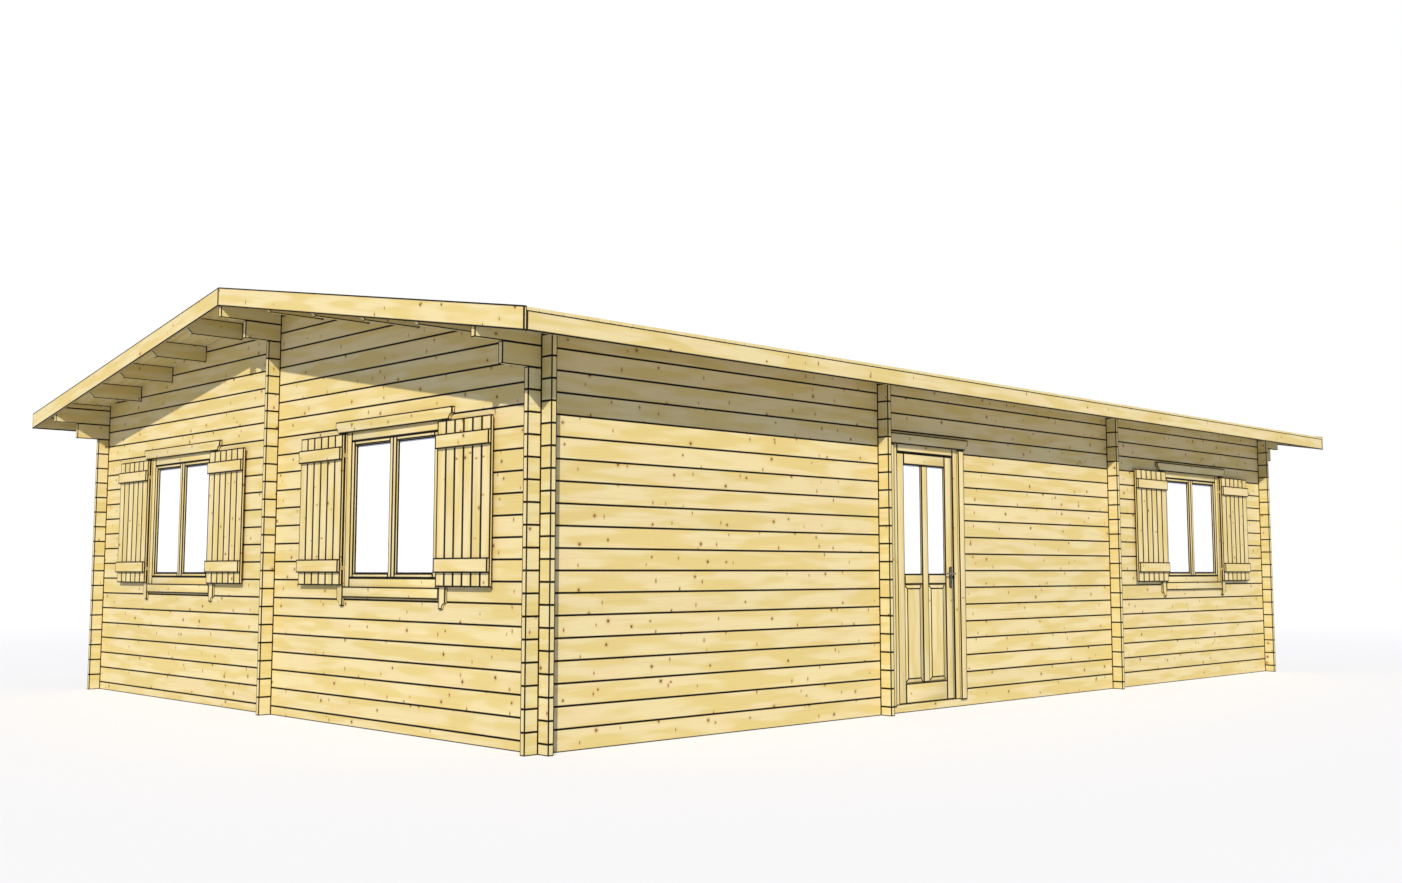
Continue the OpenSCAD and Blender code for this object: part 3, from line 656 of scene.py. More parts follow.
@dataclass(frozen=True)
class Spruce:
    """Bare planed spruce, read from each timber's own fibre coordinates.

    A timber's fibre attribute holds the place from its middle, along its fibres, across its width and
    through its thickness. Its half attribute holds half its sizes the same way round, and its tone
    attribute is one random number for the whole timber, and tone_shift is how far it moves the pattern
    along and across. A grain is how much a pattern is drawn together along, across and through. Rings are
    counted to the metre. Crossings are the places along the run, either side of the cabin's middle, where
    other logs' faces meet it. Bounce dimming is how much each colour keeps past the last of them: painted
    shade that greys the log ends against the warm light bounced onto them from the walls beside.
    """

    name: str
    pale: Colour = (0.733, 0.600, 0.293)
    yellow: Colour = (0.680, 0.522, 0.190)
    blush: Colour = (0.735, 0.572, 0.285)
    streak: Colour = (0.53, 0.385, 0.125)
    knot: Colour = (0.150, 0.050, 0.010)
    halo: Colour = (0.47, 0.28, 0.075)
    # near-black of the painted shade in joints and corners, and of dirt on edges
    shade_and_dirt: Colour = (0.009, 0.006, 0.003)
    bounce_dimming: Colour = (0.925, 0.965, 1.01)
    tone_shift: tuple[float, float] = (57.0, 17.0)
    cloud_grain: tuple[float, float, float] = (0.85, 5.2, 5.2)
    streak_grain: tuple[float, float, float] = (1.1, 26.0, 1.0)
    warp_grain: tuple[float, float, float] = (0.7, 1.0, 1.0)
    fine_grain: tuple[float, float, float] = (3.0, 210.0, 210.0)
    face_rings: float = 64.0
    end_rings: float = 330.0
    round_pitch: float = 0.34
    narrow_pitch: float = 0.39
    knot_radius: float = 0.0100
    line: float = 0.0
    thin_share: float = 0.62
    lined_ends: bool = True
    run: Axis = Axis.X
    crossings: tuple[float, ...] = ()
    spread: float = 0.02
    roughness: float = 0.62

    def face(self) -> bpy.types.Material:
        """Return the finish of the long faces: soft clouds of tone, fine grain and small knots."""
        pad = NodePad(self.name)
        fibre = pad.attribute(FIBRE).outputs["Vector"]
        along, across, depth = pad.split(fibre)
        tone = pad.attribute(TONE).outputs["Fac"]
        along = pad.plus(along, pad.times(tone, self.tone_shift[0]))
        side = pad.plus(across, pad.times(tone, self.tone_shift[1]))
        place = (along, side, depth)
        cloud_at = pad.stretched(place, self.cloud_grain)
        cloud = pad.ramp(pad.noise(cloud_at, 2.5, 1.5, 0.45), 0.38, 0.60, 0.0, 1.0)
        blush_at = pad.vector(pad.plus(pad.times(along, 0.8), 31.0), side, depth)
        blush = pad.ramp(pad.noise(blush_at, 3.1, 1.0, 0.4), 0.45, 0.68, 0.0, 0.8)
        colour = pad.mix(cloud, self.yellow, pad.mix(blush, self.pale, self.blush))
        streak_at = pad.stretched(place, self.streak_grain)
        streak = pad.ramp(pad.noise(streak_at, 1.0, 2.0, 0.5), 0.56, 0.74, 0.0, 0.20)
        colour = pad.mix(streak, colour, self.streak)
        warp = pad.noise(pad.stretched(place, self.warp_grain), 5.0, 1.0, 0.5)
        ring = pad.plus(pad.times(side, self.face_rings), pad.times(warp, 9.0))
        wave = pad.math("SINE", pad.times(ring, 2.0 * math.pi))
        colour = pad.mix(pad.ramp(wave, 0.25, 1.0, 0.0, 0.085), colour, self.streak)
        fine = pad.noise(pad.stretched(place, self.fine_grain), 1.0, 3.0, 0.6)
        colour = pad.shade(colour, pad.ramp(fine, 0.3, 0.75, 1.015, 0.97))
        colour = pad.shade(colour, pad.ramp(tone, 0.0, 1.0, 1.0 - self.spread, 1.0 + self.spread))
        colour, round_knots = self._knots(pad, colour, along, side, self.round_pitch, 1.0, self.knot)
        red = tuple(k * r for k, r in zip(self.knot, (1.8, 1.4, 1.2)))
        colour, narrow_knots = self._knots(pad, colour, along, side, self.narrow_pitch, 1.9, red)
        colour = self._shaded_and_dirtied(pad, self._bounce_dimmed(pad, colour), fibre)
        pad.paint(colour)
        height = pad.minus(fine, pad.plus(round_knots, narrow_knots))
        pad.bump(pad.plus(height, pad.times(wave, 0.25)), 0.22, 0.0005)
        self._matt(pad)
        return pad.material

    def end(self) -> bpy.types.Material:
        """Return the finish of sawn ends: growth rings round a pith outside the timber's middle."""
        pad = NodePad(self.name + "_end")
        fibre = pad.attribute(FIBRE).outputs["Vector"]
        _, across, depth = pad.split(fibre)
        tone = pad.attribute(TONE).outputs["Fac"]
        pith = pad.times(pad.minus(tone, 0.5), 0.11)
        over = pad.minus(across, pith)
        under = pad.plus(depth, pad.ramp(tone, 0.0, 1.0, 0.018, 0.05))
        reach = pad.math("SQRT", pad.plus(pad.math("POWER", over, 2.0), pad.math("POWER", under, 2.0)))
        wobble = pad.noise(pad.vector(across, depth, tone), 24.0, 2.0, 0.5)
        ring = pad.plus(pad.times(reach, self.end_rings), pad.times(wobble, 1.6))
        wave = pad.math("SINE", pad.times(ring, 2.0 * math.pi))
        paleness = pad.ramp(pad.math("FRACT", pad.times(tone, 7.0)), 0.0, 1.0, 0.35, 1.0)
        base = pad.mix(paleness, self.yellow, self.pale)
        colour = pad.mix(pad.ramp(wave, 0.0, 1.0, 0.0, 0.26), base, self.streak)
        rays = pad.noise(pad.vector(pad.math("ARCTAN2", over, under), reach, tone), 42.0, 2.0, 0.6)
        colour = pad.mix(pad.ramp(rays, 0.62, 0.78, 0.0, 0.22), colour, self.halo)
        if self.lined_ends:
            colour = self._shaded_and_dirtied(pad, colour, fibre)
        pad.paint(colour)
        pad.bump(pad.plus(wave, rays), 0.25, 0.0005)
        self._matt(pad)
        return pad.material

    def edge(self) -> bpy.types.Material:
        """Return the near-black finish of chamfers and eased edges: painted shade of the joints, with
        mottled dirt.
        """
        pad = NodePad(self.name + "_edge")
        shade_and_dirt = pad.noise(pad.attribute(FIBRE).outputs["Vector"], 30.0, 3.0, 0.6)
        light = tuple(c * 1.8 for c in self.shade_and_dirt)
        pad.paint(pad.mix(pad.ramp(shade_and_dirt, 0.4, 0.75, 0.0, 1.0), self.shade_and_dirt, light))
        pad.bump(shade_and_dirt, 0.2, 0.0004)
        self._matt(pad)
        return pad.material

    def slots(self) -> list[bpy.types.Material]:
        """Return the face, end and edge finishes and the hinges' metal, in the order of Role."""
        if self.name not in bpy.data.materials:
            self.face()
            self.end()
            self.edge()
        names = (self.name, self.name + "_end", self.name + "_edge")
        return [bpy.data.materials[n] for n in names] + [HINGE_METAL.material()]

    def _knots(
        self, pad: NodePad, colour: Socket, along: Socket, side: Socket, pitch: float, squeeze: float,
        core: Colour,
    ) -> tuple[Socket, Socket]:
        """Scatter knots over a colour.

        Args:
            pad: The material's pad.
            colour: Colour without knots.
            along: Place along the fibres.
            side: Place across them.
            pitch: Rough distance from knot to knot.
            squeeze: How much narrower than high a knot is.
            core: Colour of a knot's heart.

        Returns:
            The colour with knots, and the mask of the knots.
        """
        shifted = pad.times(pad.plus(along, squeeze * 3.7), squeeze)
        place = pad.vector(shifted, pad.plus(side, squeeze), 0.0)
        far, chance = pad.cells(place, 1.0 / pitch)
        size, kind, _ = pad.split(chance)
        ragged = pad.times(pad.minus(pad.noise(place, 130.0, 2.0, 0.5), 0.5), 0.006)
        distance = pad.plus(pad.times(far, pitch), ragged)
        radius = pad.times(pad.ramp(size, 0.0, 1.0, 0.75, 1.2), self.knot_radius)
        heart = pad.ramp(distance, pad.times(radius, 0.55), pad.times(radius, 1.1), 0.96, 0.0)
        halo = pad.ramp(distance, pad.times(radius, 0.8), pad.times(radius, 2.6), 0.5, 0.0)
        tint = pad.mix(pad.ramp(kind, 0.3, 1.0, 0.0, 0.55), core, self.halo)
        centre = pad.ramp(distance, 0.0, pad.times(radius, 0.5), 0.5, 0.0)
        colour = pad.mix(halo, colour, self.halo)
        return pad.mix(heart, colour, pad.mix(centre, tint, core)), heart

    def _out(self, pad: NodePad) -> Socket:
        """Return how far a place is from the cabin's middle, along the logs."""
        return pad.math("ABSOLUTE", pad.split(pad.place())[self.run.value])

    def _bounce_dimmed(self, pad: NodePad, colour: Socket) -> Socket:
        """Grey and darken a log a little past its last crossing: painted shade against the warm bounce
        light there.

        Args:
            pad: The material's pad.
            colour: Undimmed colour.

        Returns:
            The dimmed colour.
        """
        if not self.crossings:
            return colour
        last = max(self.crossings)
        outside = pad.ramp(self._out(pad), last, last + self.line, 0.0, 1.0)
        return pad.mix(outside, colour, self.bounce_dimming, "MULTIPLY")

    def _shaded_and_dirtied(self, pad: NodePad, colour: Socket, fibre: Socket) -> Socket:
        """Darken each timber's long edges, ends and crossings: painted shade in joints and corners, and
        dirt.

        A side thinner than a few lines gets narrower ones, so that its middle keeps its colour.

        Args:
            pad: The material's pad.
            colour: Colour without the dark lines.
            fibre: Place from the timber's middle.

        Returns:
            The darkened colour.
        """
        if not self.line:
            return colour
        half = pad.attribute(HALF).outputs["Vector"]
        left = pad.vectors("SUBTRACT", half, pad.vectors("ABSOLUTE", fibre))
        thin = pad.vectors("DIVIDE", (self.line / self.thin_share,) * 3, half)
        scaled = pad.vectors("MULTIPLY", left, pad.vectors("MAXIMUM", thin, (1.0,) * 3))
        first, second, third = pad.split(scaled)
        larger = pad.math("MINIMUM", pad.math("MAXIMUM", first, second), third)
        nearest = pad.math("MAXIMUM", pad.math("MINIMUM", first, second), larger)
        # painted shade in the corners where crossing logs meet this one
        if self.crossings:
            out = self._out(pad)
            for crossing in self.crossings:
                beside = pad.math("ABSOLUTE", pad.minus(out, crossing))
                nearest = pad.math("MINIMUM", nearest, beside)
        return pad.mix(pad.ramp(nearest, self.line * 0.7, self.line * 1.3, 1.0, 0.0), colour, self.shade_and_dirt)

    def _matt(self, pad: NodePad) -> None:
        """Set the sheen of planed wood."""
        pad.feed(pad.shader, {"Roughness": self.roughness, "Specular IOR Level": 0.10})


@dataclass(frozen=True)
class Metal:
    """Metal of the fittings, with a fine mottle in its colour, gloss and height."""

    name: str
    base: Colour
    worn: Colour
    gloss: tuple[float, float]
    metallic: float

    def material(self) -> bpy.types.Material:
        """Return the finish."""
        if self.name in bpy.data.materials:
            return bpy.data.materials[self.name]
        pad = NodePad(self.name)
        mottle = pad.noise(pad.place(), 160.0, 4.0, 0.6)
        colour = pad.mix(pad.ramp(mottle, 0.35, 0.72, 0.0, 1.0), self.base, self.worn)
        pad.paint(colour)
        pad.links.new(pad.ramp(mottle, 0.3, 0.7, *self.gloss), pad.shader.inputs["Roughness"])
        pad.feed(pad.shader, {"Metallic": self.metallic})
        pad.bump(mottle, 0.12, 0.0002)
        return pad.material


@dataclass(frozen=True)
class Pane:
    """White opal glass, glossy outside and evenly bright."""

    name: str = "opal_glass"
    tint: Colour = (0.94, 0.925, 0.90)
    clear: Colour = (0.975, 0.955, 0.925)

    def material(self) -> bpy.types.Material:
        """Return the finish, with a very soft change of tint over each pane."""
        pad = NodePad(self.name)
        drift = pad.noise(pad.place(), 1.6, 1.0, 0.4)
        pad.paint(pad.mix(drift, self.tint, self.clear))
        pad.feed(pad.shader, {"Roughness": 0.06, "IOR": 1.5, "Coat Weight": 0.5, "Coat Roughness": 0.03})
        pad.bump(drift, 0.03, 0.002)
        return pad.material


PLATE_METAL = Metal("plate_steel", (0.105, 0.094, 0.076), (0.145, 0.130, 0.106), (0.28, 0.40), 0.45)
LEVER_METAL = Metal("lever_steel", (0.235, 0.205, 0.16), (0.295, 0.260, 0.205), (0.26, 0.40), 0.7)
# near-black steel of the plate's rim, also the painted shade inside its holes
RIM_AND_HOLE_SHADE_METAL = Metal("rim_steel", (0.018, 0.016, 0.012), (0.045, 0.039, 0.031), (0.34, 0.48), 0.5)
HINGE_METAL = Metal("yellow_zinc", (0.52, 0.41, 0.17), (0.68, 0.58, 0.33), (0.32, 0.5), 0.75)
LOGS = Spruce("spruce_logs", line=0.0066)
BOARDS = Spruce("spruce_boards", line=0.0105)
DECKING = Spruce("spruce_decking", line=0.0016, lined_ends=False)
JOINERY = Spruce(
    "spruce_joinery", round_pitch=0.75, narrow_pitch=0.6, knot_radius=0.0075, line=0.0092, roughness=0.55
)


# ---------------------------------------------------------------- timbers


class Timber:
    """Marks timbers with the attributes and slots that the spruce finishes read."""

    @staticmethod
    def islands(mesh: bpy.types.Mesh) -> np.ndarray:
        """Number the separate solids of a mesh.

        Args:
            mesh: The mesh.

        Returns:
            For each vertex, the number of its solid.
        """
        count = len(mesh.vertices)
        ends = np.empty(len(mesh.edges) * 2, dtype=np.int64)
        mesh.edges.foreach_get("vertices", ends)
        ends = ends.reshape(-1, 2)
        label = np.arange(count)
        while True:
            least = np.minimum(label[ends[:, 0]], label[ends[:, 1]])
            fresh = label.copy()
            np.minimum.at(fresh, ends[:, 0], least)
            np.minimum.at(fresh, ends[:, 1], least)
            fresh = fresh[fresh]
            if np.array_equal(fresh, label):
                break
            label = fresh
        return np.unique(label, return_inverse=True)[1]

    @staticmethod
    def wood(piece: Piece, finish: Spruce) -> Piece:
        """Give a piece the slots of a wood, unless it has them, and return it."""
        if not piece.data.materials:
            for material in finish.slots():
                piece.data.materials.append(material)
        return piece

    @staticmethod
    def mark(
        piece: Piece, rng: random.Random, finish: Spruce, axis: Optional[Axis] = None,
        own: Optional[Matrix] = None,
    ) -> Piece:
        """Give each solid of a piece its fibre direction, tone and end faces.

        Args:
            piece: The piece to mark.
            rng: Source of the tones.
            finish: The wood that it is made of.
            axis: Fibre direction, or None for each solid's longest side.
            own: Brings a sloping timber into line with the axes before it is measured.

        Returns:
            The same piece.
        """
        mesh = Timber.wood(piece, finish).data
        place = np.empty(len(mesh.vertices) * 3)
        mesh.vertices.foreach_get("co", place)
        place = place.reshape(-1, 3)
        if own is not None:
            place = place @ np.array(own.to_3x3()).T
        solid = Timber.islands(mesh)
        fibre, half, tone = np.zeros_like(place), np.zeros_like(place), np.zeros(len(place))
        axes = []
        for number in range(solid.max() + 1):
            mine = solid == number
            low, high = place[mine].min(0), place[mine].max(0)
            order = list(np.argsort(low - high))
            first = order[0] if axis is None else axis.value
            order.remove(first)
            order.insert(0, first)
            fibre[mine] = (place[mine] - (low + high) / 2)[:, order]
            half[mine] = ((high - low) / 2)[order]
            tone[mine] = rng.random()
            axes.append(first)
        values = {FIBRE: fibre, HALF: half, TONE: tone}
        for name, (kind, key) in ATTRIBUTES.items():
            layer = mesh.attributes.get(name) or mesh.attributes.new(name, kind, "POINT")
            layer.data.foreach_set(key, values[name].astype(np.float32).ravel())
        for face in mesh.polygons:
            lies_along = axes[solid[face.vertices[0]]]
            if face.material_index == Role.FACE.value and abs(face.normal[lies_along]) > SQUARE:
                face.material_index = Role.END.value
        return piece

    @staticmethod
    def retone(piece: Piece, rng: random.Random) -> Piece:
        """Shift a copy's tones, so that it isn't the same wood as its pattern.

        Args:
            piece: The copy.
            rng: Source of the shift.

        Returns:
            The same piece.
        """
        tone = np.empty(len(piece.data.vertices), dtype=np.float32)
        piece.data.attributes[TONE].data.foreach_get("value", tone)
        piece.data.attributes[TONE].data.foreach_set("value", (tone + rng.random()) % 1.0)
        return piece

    @staticmethod
    def paint_joints(piece: Piece, first: Axis, second: Axis) -> Piece:
        """Give the dark edge finish, painted shade of the joint, to chamfers that face halfway between two
        axes.

        Args:
            piece: The piece to mark.
            first: One of the two axes.
            second: The other.

        Returns:
            The same piece.
        """
        for face in piece.data.polygons:
            if all(abs(face.normal[axis.value]) > SLANTED for axis in (first, second)):
                face.material_index = Role.EDGE.value
        return piece

    @staticmethod
    def darken(piece: Piece) -> Piece:
        """Give every face of a bead or seal the dark edge finish, painted shade, and return the piece."""
        for face in piece.data.polygons:
            face.material_index = Role.EDGE.value
        return piece

    @staticmethod
    def ease(piece: Piece, finish: Spruce, width: float = 0.0026, degrees: float = 31.0) -> Piece:
        """Ease a timber's sharp edges, and give them the dark edge finish of painted shade and dirt.

        Args:
            piece: The timber.
            finish: The wood.
            width: Width of the rounding.
            degrees: Angle from which an edge is sharp.

        Returns:
            The same piece.
        """
        return Bench.soften(Timber.wood(piece, finish), width, 2, Role.EDGE.value, degrees)

    @staticmethod
    def board(
        name: str, low: Sequence[float], high: Sequence[float], axis: Axis, rng: random.Random,
        finish: Spruce, soft: float = 0.0026,
    ) -> Piece:
        """Make one planed timber with eased edges.

        Args:
            name: Name of the piece.
            low: Lowest corner.
            high: Highest corner.
            axis: Direction of its fibres.
            rng: Source of its tone.
            finish: The wood.
            soft: Width of the rounding of its edges.

        Returns:
            The new piece.
        """
        piece = Timber.ease(Bench.block(name, low, high), finish, soft)
        return Timber.mark(piece, rng, finish, axis)

    @staticmethod
    def metal(piece: Piece) -> Piece:
        """Give a hinge part the metal slot of the boards that it is joined to, and return it.

        Args:
            piece: The hinge part.

        Returns:
            The same piece.
        """
        Timber.wood(piece, BOARDS)
        for face in piece.data.polygons:
            face.material_index = Role.METAL.value
        for name, (kind, _) in ATTRIBUTES.items():
            piece.data.attributes.new(name, kind, "POINT")
        return piece


# ---------------------------------------------------------------- the shared plan


@dataclass
class Plan:
    """Places that several sub-assemblies share: all read from the frame, but the pitch and the ridge."""

    front_y: float = field(init=False)
    left_x: float = field(init=False)
    window_x: float = field(init=False)
    window_y: float = field(init=False)
    frame_half: float = field(init=False)
    pitch: float = math.radians(9.8)
    ridge_z: float = 3.288

    def __post_init__(self) -> None:
        """Read the places of the walls and windows."""
        self.front_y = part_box("front_wall_left")[0].y
        self.left_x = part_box("left_gable_wall")[0].x
        low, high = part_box("front_window_frame")
        self.window_x = (low.x + high.x) / 2
        self.frame_half = (high.x - low.x) / 2
        self.window_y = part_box("left_gable_window_frames")[1].y - self.frame_half

    def on_wall(self, side: Side, along: float) -> Matrix:
        """Return the place of a window's own frame on a wall.

        Args:
            side: The wall.
            along: Place of the window's middle along it, in X or Y.

        Returns:
            The place, as a matrix.
        """
        if side is Side.FRONT:
            return Matrix.Translation((along, self.front_y, 0.0))
        if side is Side.LEFT:
            return Matrix.Translation((self.left_x, along, 0.0)) @ Matrix.Rotation(-math.pi / 2, 4, "Z")
        opposite = Side.FRONT if side is Side.BACK else Side.LEFT
        return Matrix.Rotation(math.pi, 4, "Z") @ self.on_wall(opposite, -along)

    def window_places(self) -> dict[Side, list[Matrix]]:
        """Return the places of the windows on each wall."""
        across = (-self.window_x, self.window_x)
        along = (-self.window_y, self.window_y)
        middles = {Side.FRONT: across[1:], Side.LEFT: along, Side.RIGHT: along, Side.BACK: across}
        return {side: [self.on_wall(side, middle) for middle in row] for side, row in middles.items()}

    def crossings(self, run: Axis) -> tuple[float, ...]:
        """Return how far from the cabin's middle the faces lie that cross logs of one direction.

        Args:
            run: Direction of the logs that are crossed.

        Returns:
            The distances, least first.
        """
        across = ("left_gable_wall", "left_cross_wall")
        if run is Axis.Y:
            across = ("front_wall_left", "centre_wall")
        corners = [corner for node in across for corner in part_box(node)]
        return tuple(sorted({round(abs(corner[run.value]), 5) for corner in corners}))

    def roof_under(self, y: float) -> float:
        """Return the height of the underside of the roof boards at a distance from the ridge."""
        return self.ridge_z - math.tan(self.pitch) * abs(y)


# ---------------------------------------------------------------- log walls


@dataclass
class LogWork:
    """Logs, purlins and joists: the construction model's timbers, merged, marked and dressed."""

    plan: Plan
    seed: int = 11
    merge: float = 0.00002
    flat: float = math.radians(0.3)
    eased: float = 0.0048
    walls: tuple[str, ...] = (
        "front_sill_log", "front_wall_left", "front_wall_right", "front_wall_top", "back_wall",
        "left_gable_wall", "right_gable_wall", "left_cross_wall", "right_cross_wall", "centre_wall",
    )
    purlins: tuple[str, ...] = ("front_purlins", "back_purlins")

    def build(self) -> None:
        """Dress the walls, the purlins and the floor joists."""
        rng = random.Random(self.seed)
        finishes = {}
        for axis in (Axis.X, Axis.Y):
            name = f"{LOGS.name}_{axis.name.lower()}"
            finishes[axis] = replace(LOGS, name=name, run=axis, crossings=self.plan.crossings(axis))
        for node in self.walls:
            self.dress(node, rng, "logs", True, finishes[self._run(node)])
        for node in self.purlins:
            self.dress(node, rng, "logs", False, finishes[Axis.X])
        self.dress("floor_joists", rng, "floor", False, LOGS)

    def dress(self, node: str, rng: random.Random, slot: str, chamfered: bool, finish: Spruce) -> None:
        """Make the visible timbers of one node.

        Args:
            node: Name of the node.
            rng: Source of the tones.
            slot: Material slot of the record.
            chamfered: Whether the long edges have joint chamfers.
            finish: The wood.
        """
        bpy.ops.object.select_all(action="DESELECT")
        piece = Bench.copy(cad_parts[node], node + "_timbers", Matrix.Identity(4))
        piece.data.materials.clear()
        Bench.edit_all(piece)
        bpy.ops.mesh.remove_doubles(threshold=self.merge)
        bpy.ops.mesh.dissolve_limited(angle_limit=self.flat)
        Bench.done()
        for face in piece.data.polygons:
            face.use_smooth = False
        Timber.wood(piece, finish)
        if chamfered:
            Timber.paint_joints(piece, Axis.Y if self._run(node) is Axis.X else Axis.X, Axis.Z)
        else:
            Timber.ease(piece, finish, self.eased)
        Timber.mark(piece, rng, finish)
        Bench.seat(piece, ROOT, slot, node)

    def _run(self, node: str) -> Axis:
        """Return the axis that a wall's logs run along."""
        return Axis.X if node.startswith(("front", "back", "centre")) else Axis.Y


# ---------------------------------------------------------------- roof


@dataclass
class Roof:
    """Roof boards running down each slope, barge boards on the gables and fascias along the eaves."""

    plan: Plan
    seed: int = 23
    cover: float = 0.0905
    joint: float = 0.0035
    upper_joint: float = 0.0012
    gap: float = 0.0008
    spare: float = 0.1
    barge_w: float = 0.145
    barge_gap: float = 0.0002
    barge_spare: float = 0.3
    ease: float = 0.0030

    def build(self) -> None:
        """Build the boards of both slopes and the boards round the roof's edge."""
        rng = random.Random(self.seed)
        back = self._slope(rng)
        front = Timber.retone(Bench.copy(back, "front_roof_boards", MIRROR_Y), rng)
        Bench.seat(back, ROOT, "roof_boards", "back_roof_deck")
        Bench.seat(front, ROOT, "roof_boards", "front_roof_deck")
        self._barge_boards(rng)
        self._fascias(rng)

    def _slope(self, rng: random.Random) -> Piece:
        """Return the boards of the slope towards +Y.

        Args:
            rng: Source of the tones.

        Returns:
            The boards, in one mesh.
        """
        low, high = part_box("back_roof_deck")
        thick = (high.z - self.plan.roof_under(low.y)) * math.cos(self.plan.pitch)
        seat = low.z - self.plan.roof_under(high.y)
        thick -= seat * math.cos(self.plan.pitch)
        count = round((high.x - low.x) / self.cover)
        step = (high.x - low.x) / count
        length = (high.y - low.y) / math.cos(self.plan.pitch) + 2 * self.spare
        corner = (low.x + step - self.gap, length, thick)
        board = Bench.block("back_roof_boards", (low.x, -self.spare, 0.0), corner)
        half = thick / 2
        Bench.bevel_edges(board, lambda a, b: lengthways(Axis.Y, a, b) and max(a.z, b.z) < half, self.joint)
        Bench.bevel_edges(
            board, lambda a, b: lengthways(Axis.Y, a, b) and min(a.z, b.z) > half, self.upper_joint
        )
        board.data.transform(self._on_slope(self.plan.ridge_z + seat))
        Bench.cut(board, (0.0, low.y, 0.0), (0.0, -1.0, 0.0))
        Bench.cut(board, (0.0, high.y, 0.0), (0.0, 1.0, 0.0))
        Bench.repeat(board, count, (step, 0.0, 0.0))
        return Timber.mark(board, rng, DECKING, Axis.Y, self._level())

    def _on_slope(self, height: float) -> Matrix:
        """Return the turn and lift of the slope towards +Y, for a height at the ridge."""
        return Matrix.Translation((0.0, 0.0, height)) @ Matrix.Rotation(-self.plan.pitch, 4, "X")

    def _level(self) -> Matrix:
        """Return the turn that lays a timber of the slope towards +Y level, its plumb ends kept plumb."""
        level = Matrix.Rotation(self.plan.pitch, 4, "X")
        level[1] = (0.0, 1.0, 0.0, 0.0)
        return level

    def _barge_boards(self, rng: random.Random) -> None:
        """Build the pair of barge boards on each gable.

        Args:
            rng: Source of the tones.
        """
        low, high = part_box("right_barge_boards")
        top = high.z + math.tan(self.plan.pitch) * self.barge_gap
        corner = (high.x, high.y + self.barge_spare, 0.0)
        board = Bench.block("barge", (low.x, -self.spare, -self.barge_w), corner)
        board.data.transform(self._on_slope(top))
        Bench.cut(board, (0.0, self.barge_gap, 0.0), (0.0, -1.0, 0.0))
        Bench.cut(board, (0.0, high.y, 0.0), (0.0, 1.0, 0.0))
        Timber.mark(Timber.ease(board, BOARDS, self.ease), rng, BOARDS, Axis.Y, self._level())
        for name, turn in (("right", Matrix.Identity(4)), ("left", MIRROR_X)):
            pair = [
                Timber.retone(Bench.copy(board, "barge_half", turn @ flip), rng)
                for flip in (Matrix.Identity(4), MIRROR_Y)
            ]
            boards = Bench.join(f"{name}_gable_barge_boards", pair)
            Bench.seat(boards, ROOT, "roof_edges", f"{name}_barge_boards")
        Bench.discard(board)

    def _fascias(self, rng: random.Random) -> None:
        """Build the board under each eave, its top planed to the slope of the roof.

        Args:
            rng: Source of the tones.
        """
        low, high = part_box("back_fascia")
        board = Bench.block("back_eave_fascia", low, high)
        point = (0.0, high.y, self.plan.roof_under(high.y))
        Bench.cut(board, point, (0.0, math.sin(self.plan.pitch), math.cos(self.plan.pitch)))
        Timber.mark(Timber.ease(board, BOARDS, self.ease), rng, BOARDS, Axis.X)
        twin = Timber.retone(Bench.copy(board, "front_eave_fascia", MIRROR_Y), rng)
        Bench.seat(board, ROOT, "roof_edges", "back_fascia")
        Bench.seat(twin, ROOT, "roof_edges", "front_fascia")


# ---------------------------------------------------------------- floor


@dataclass
class Floor:
    """Floor boards over the joists of the six rooms.

    The model's floor comes as loose faces, which are grouped by the square of a grid that their middle is
    in. A room's top and bottom make its field of boards. The edges of the rooms fall into squares of their
    own, so flat fields stand at the outer walls, and narrow ones run inside the foot of the inner walls.
    """

    seed: int = 31
    cover: float = 0.121
    joint: float = 0.001
    gap: float = 0.0005
    grid: float = 1.5

    def build(self) -> None:
        """Build one field of boards for each group of the floor's faces."""
        rng = random.Random(self.seed)
        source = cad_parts["floor_boards"].data
        place = np.array([v.co for v in source.vertices])
        loose = Timber.islands(source)
        groups = {}
        for number in range(loose.max() + 1):
            mine = place[loose == number]
            square = tuple(np.round(mine.mean(0)[:2] / self.grid).astype(int))
            groups.setdefault(square, []).append(mine)
        fields = []
        for faces in groups.values():
            corners = np.vstack(faces)
            fields.append(self._field(corners.min(0), corners.max(0)))
        floor = Bench.join("floor_board_fields", fields)
        Timber.mark(floor, rng, DECKING, Axis.Y)
        Bench.seat(floor, ROOT, "floor", "floor_boards")

    def _field(self, low: np.ndarray, high: np.ndarray) -> Piece:
        """Return the boards between two corners.

        Args:
            low: Lowest corner.
            high: Highest corner.

        Returns:
            The boards, in one mesh.
        """
        count = max(1, round((high[0] - low[0]) / self.cover))
        step = (high[0] - low[0]) / count
        board = Bench.block("floor_board", low, (low[0] + step - self.gap, high[1], high[2]))
        top = high[2] - self.joint
        Bench.bevel_edges(board, lambda a, b: lengthways(Axis.Y, a, b) and min(a.z, b.z) > top, self.joint)
        return Bench.repeat(board, count, (step, 0.0, 0.0))


# ---------------------------------------------------------------- windows


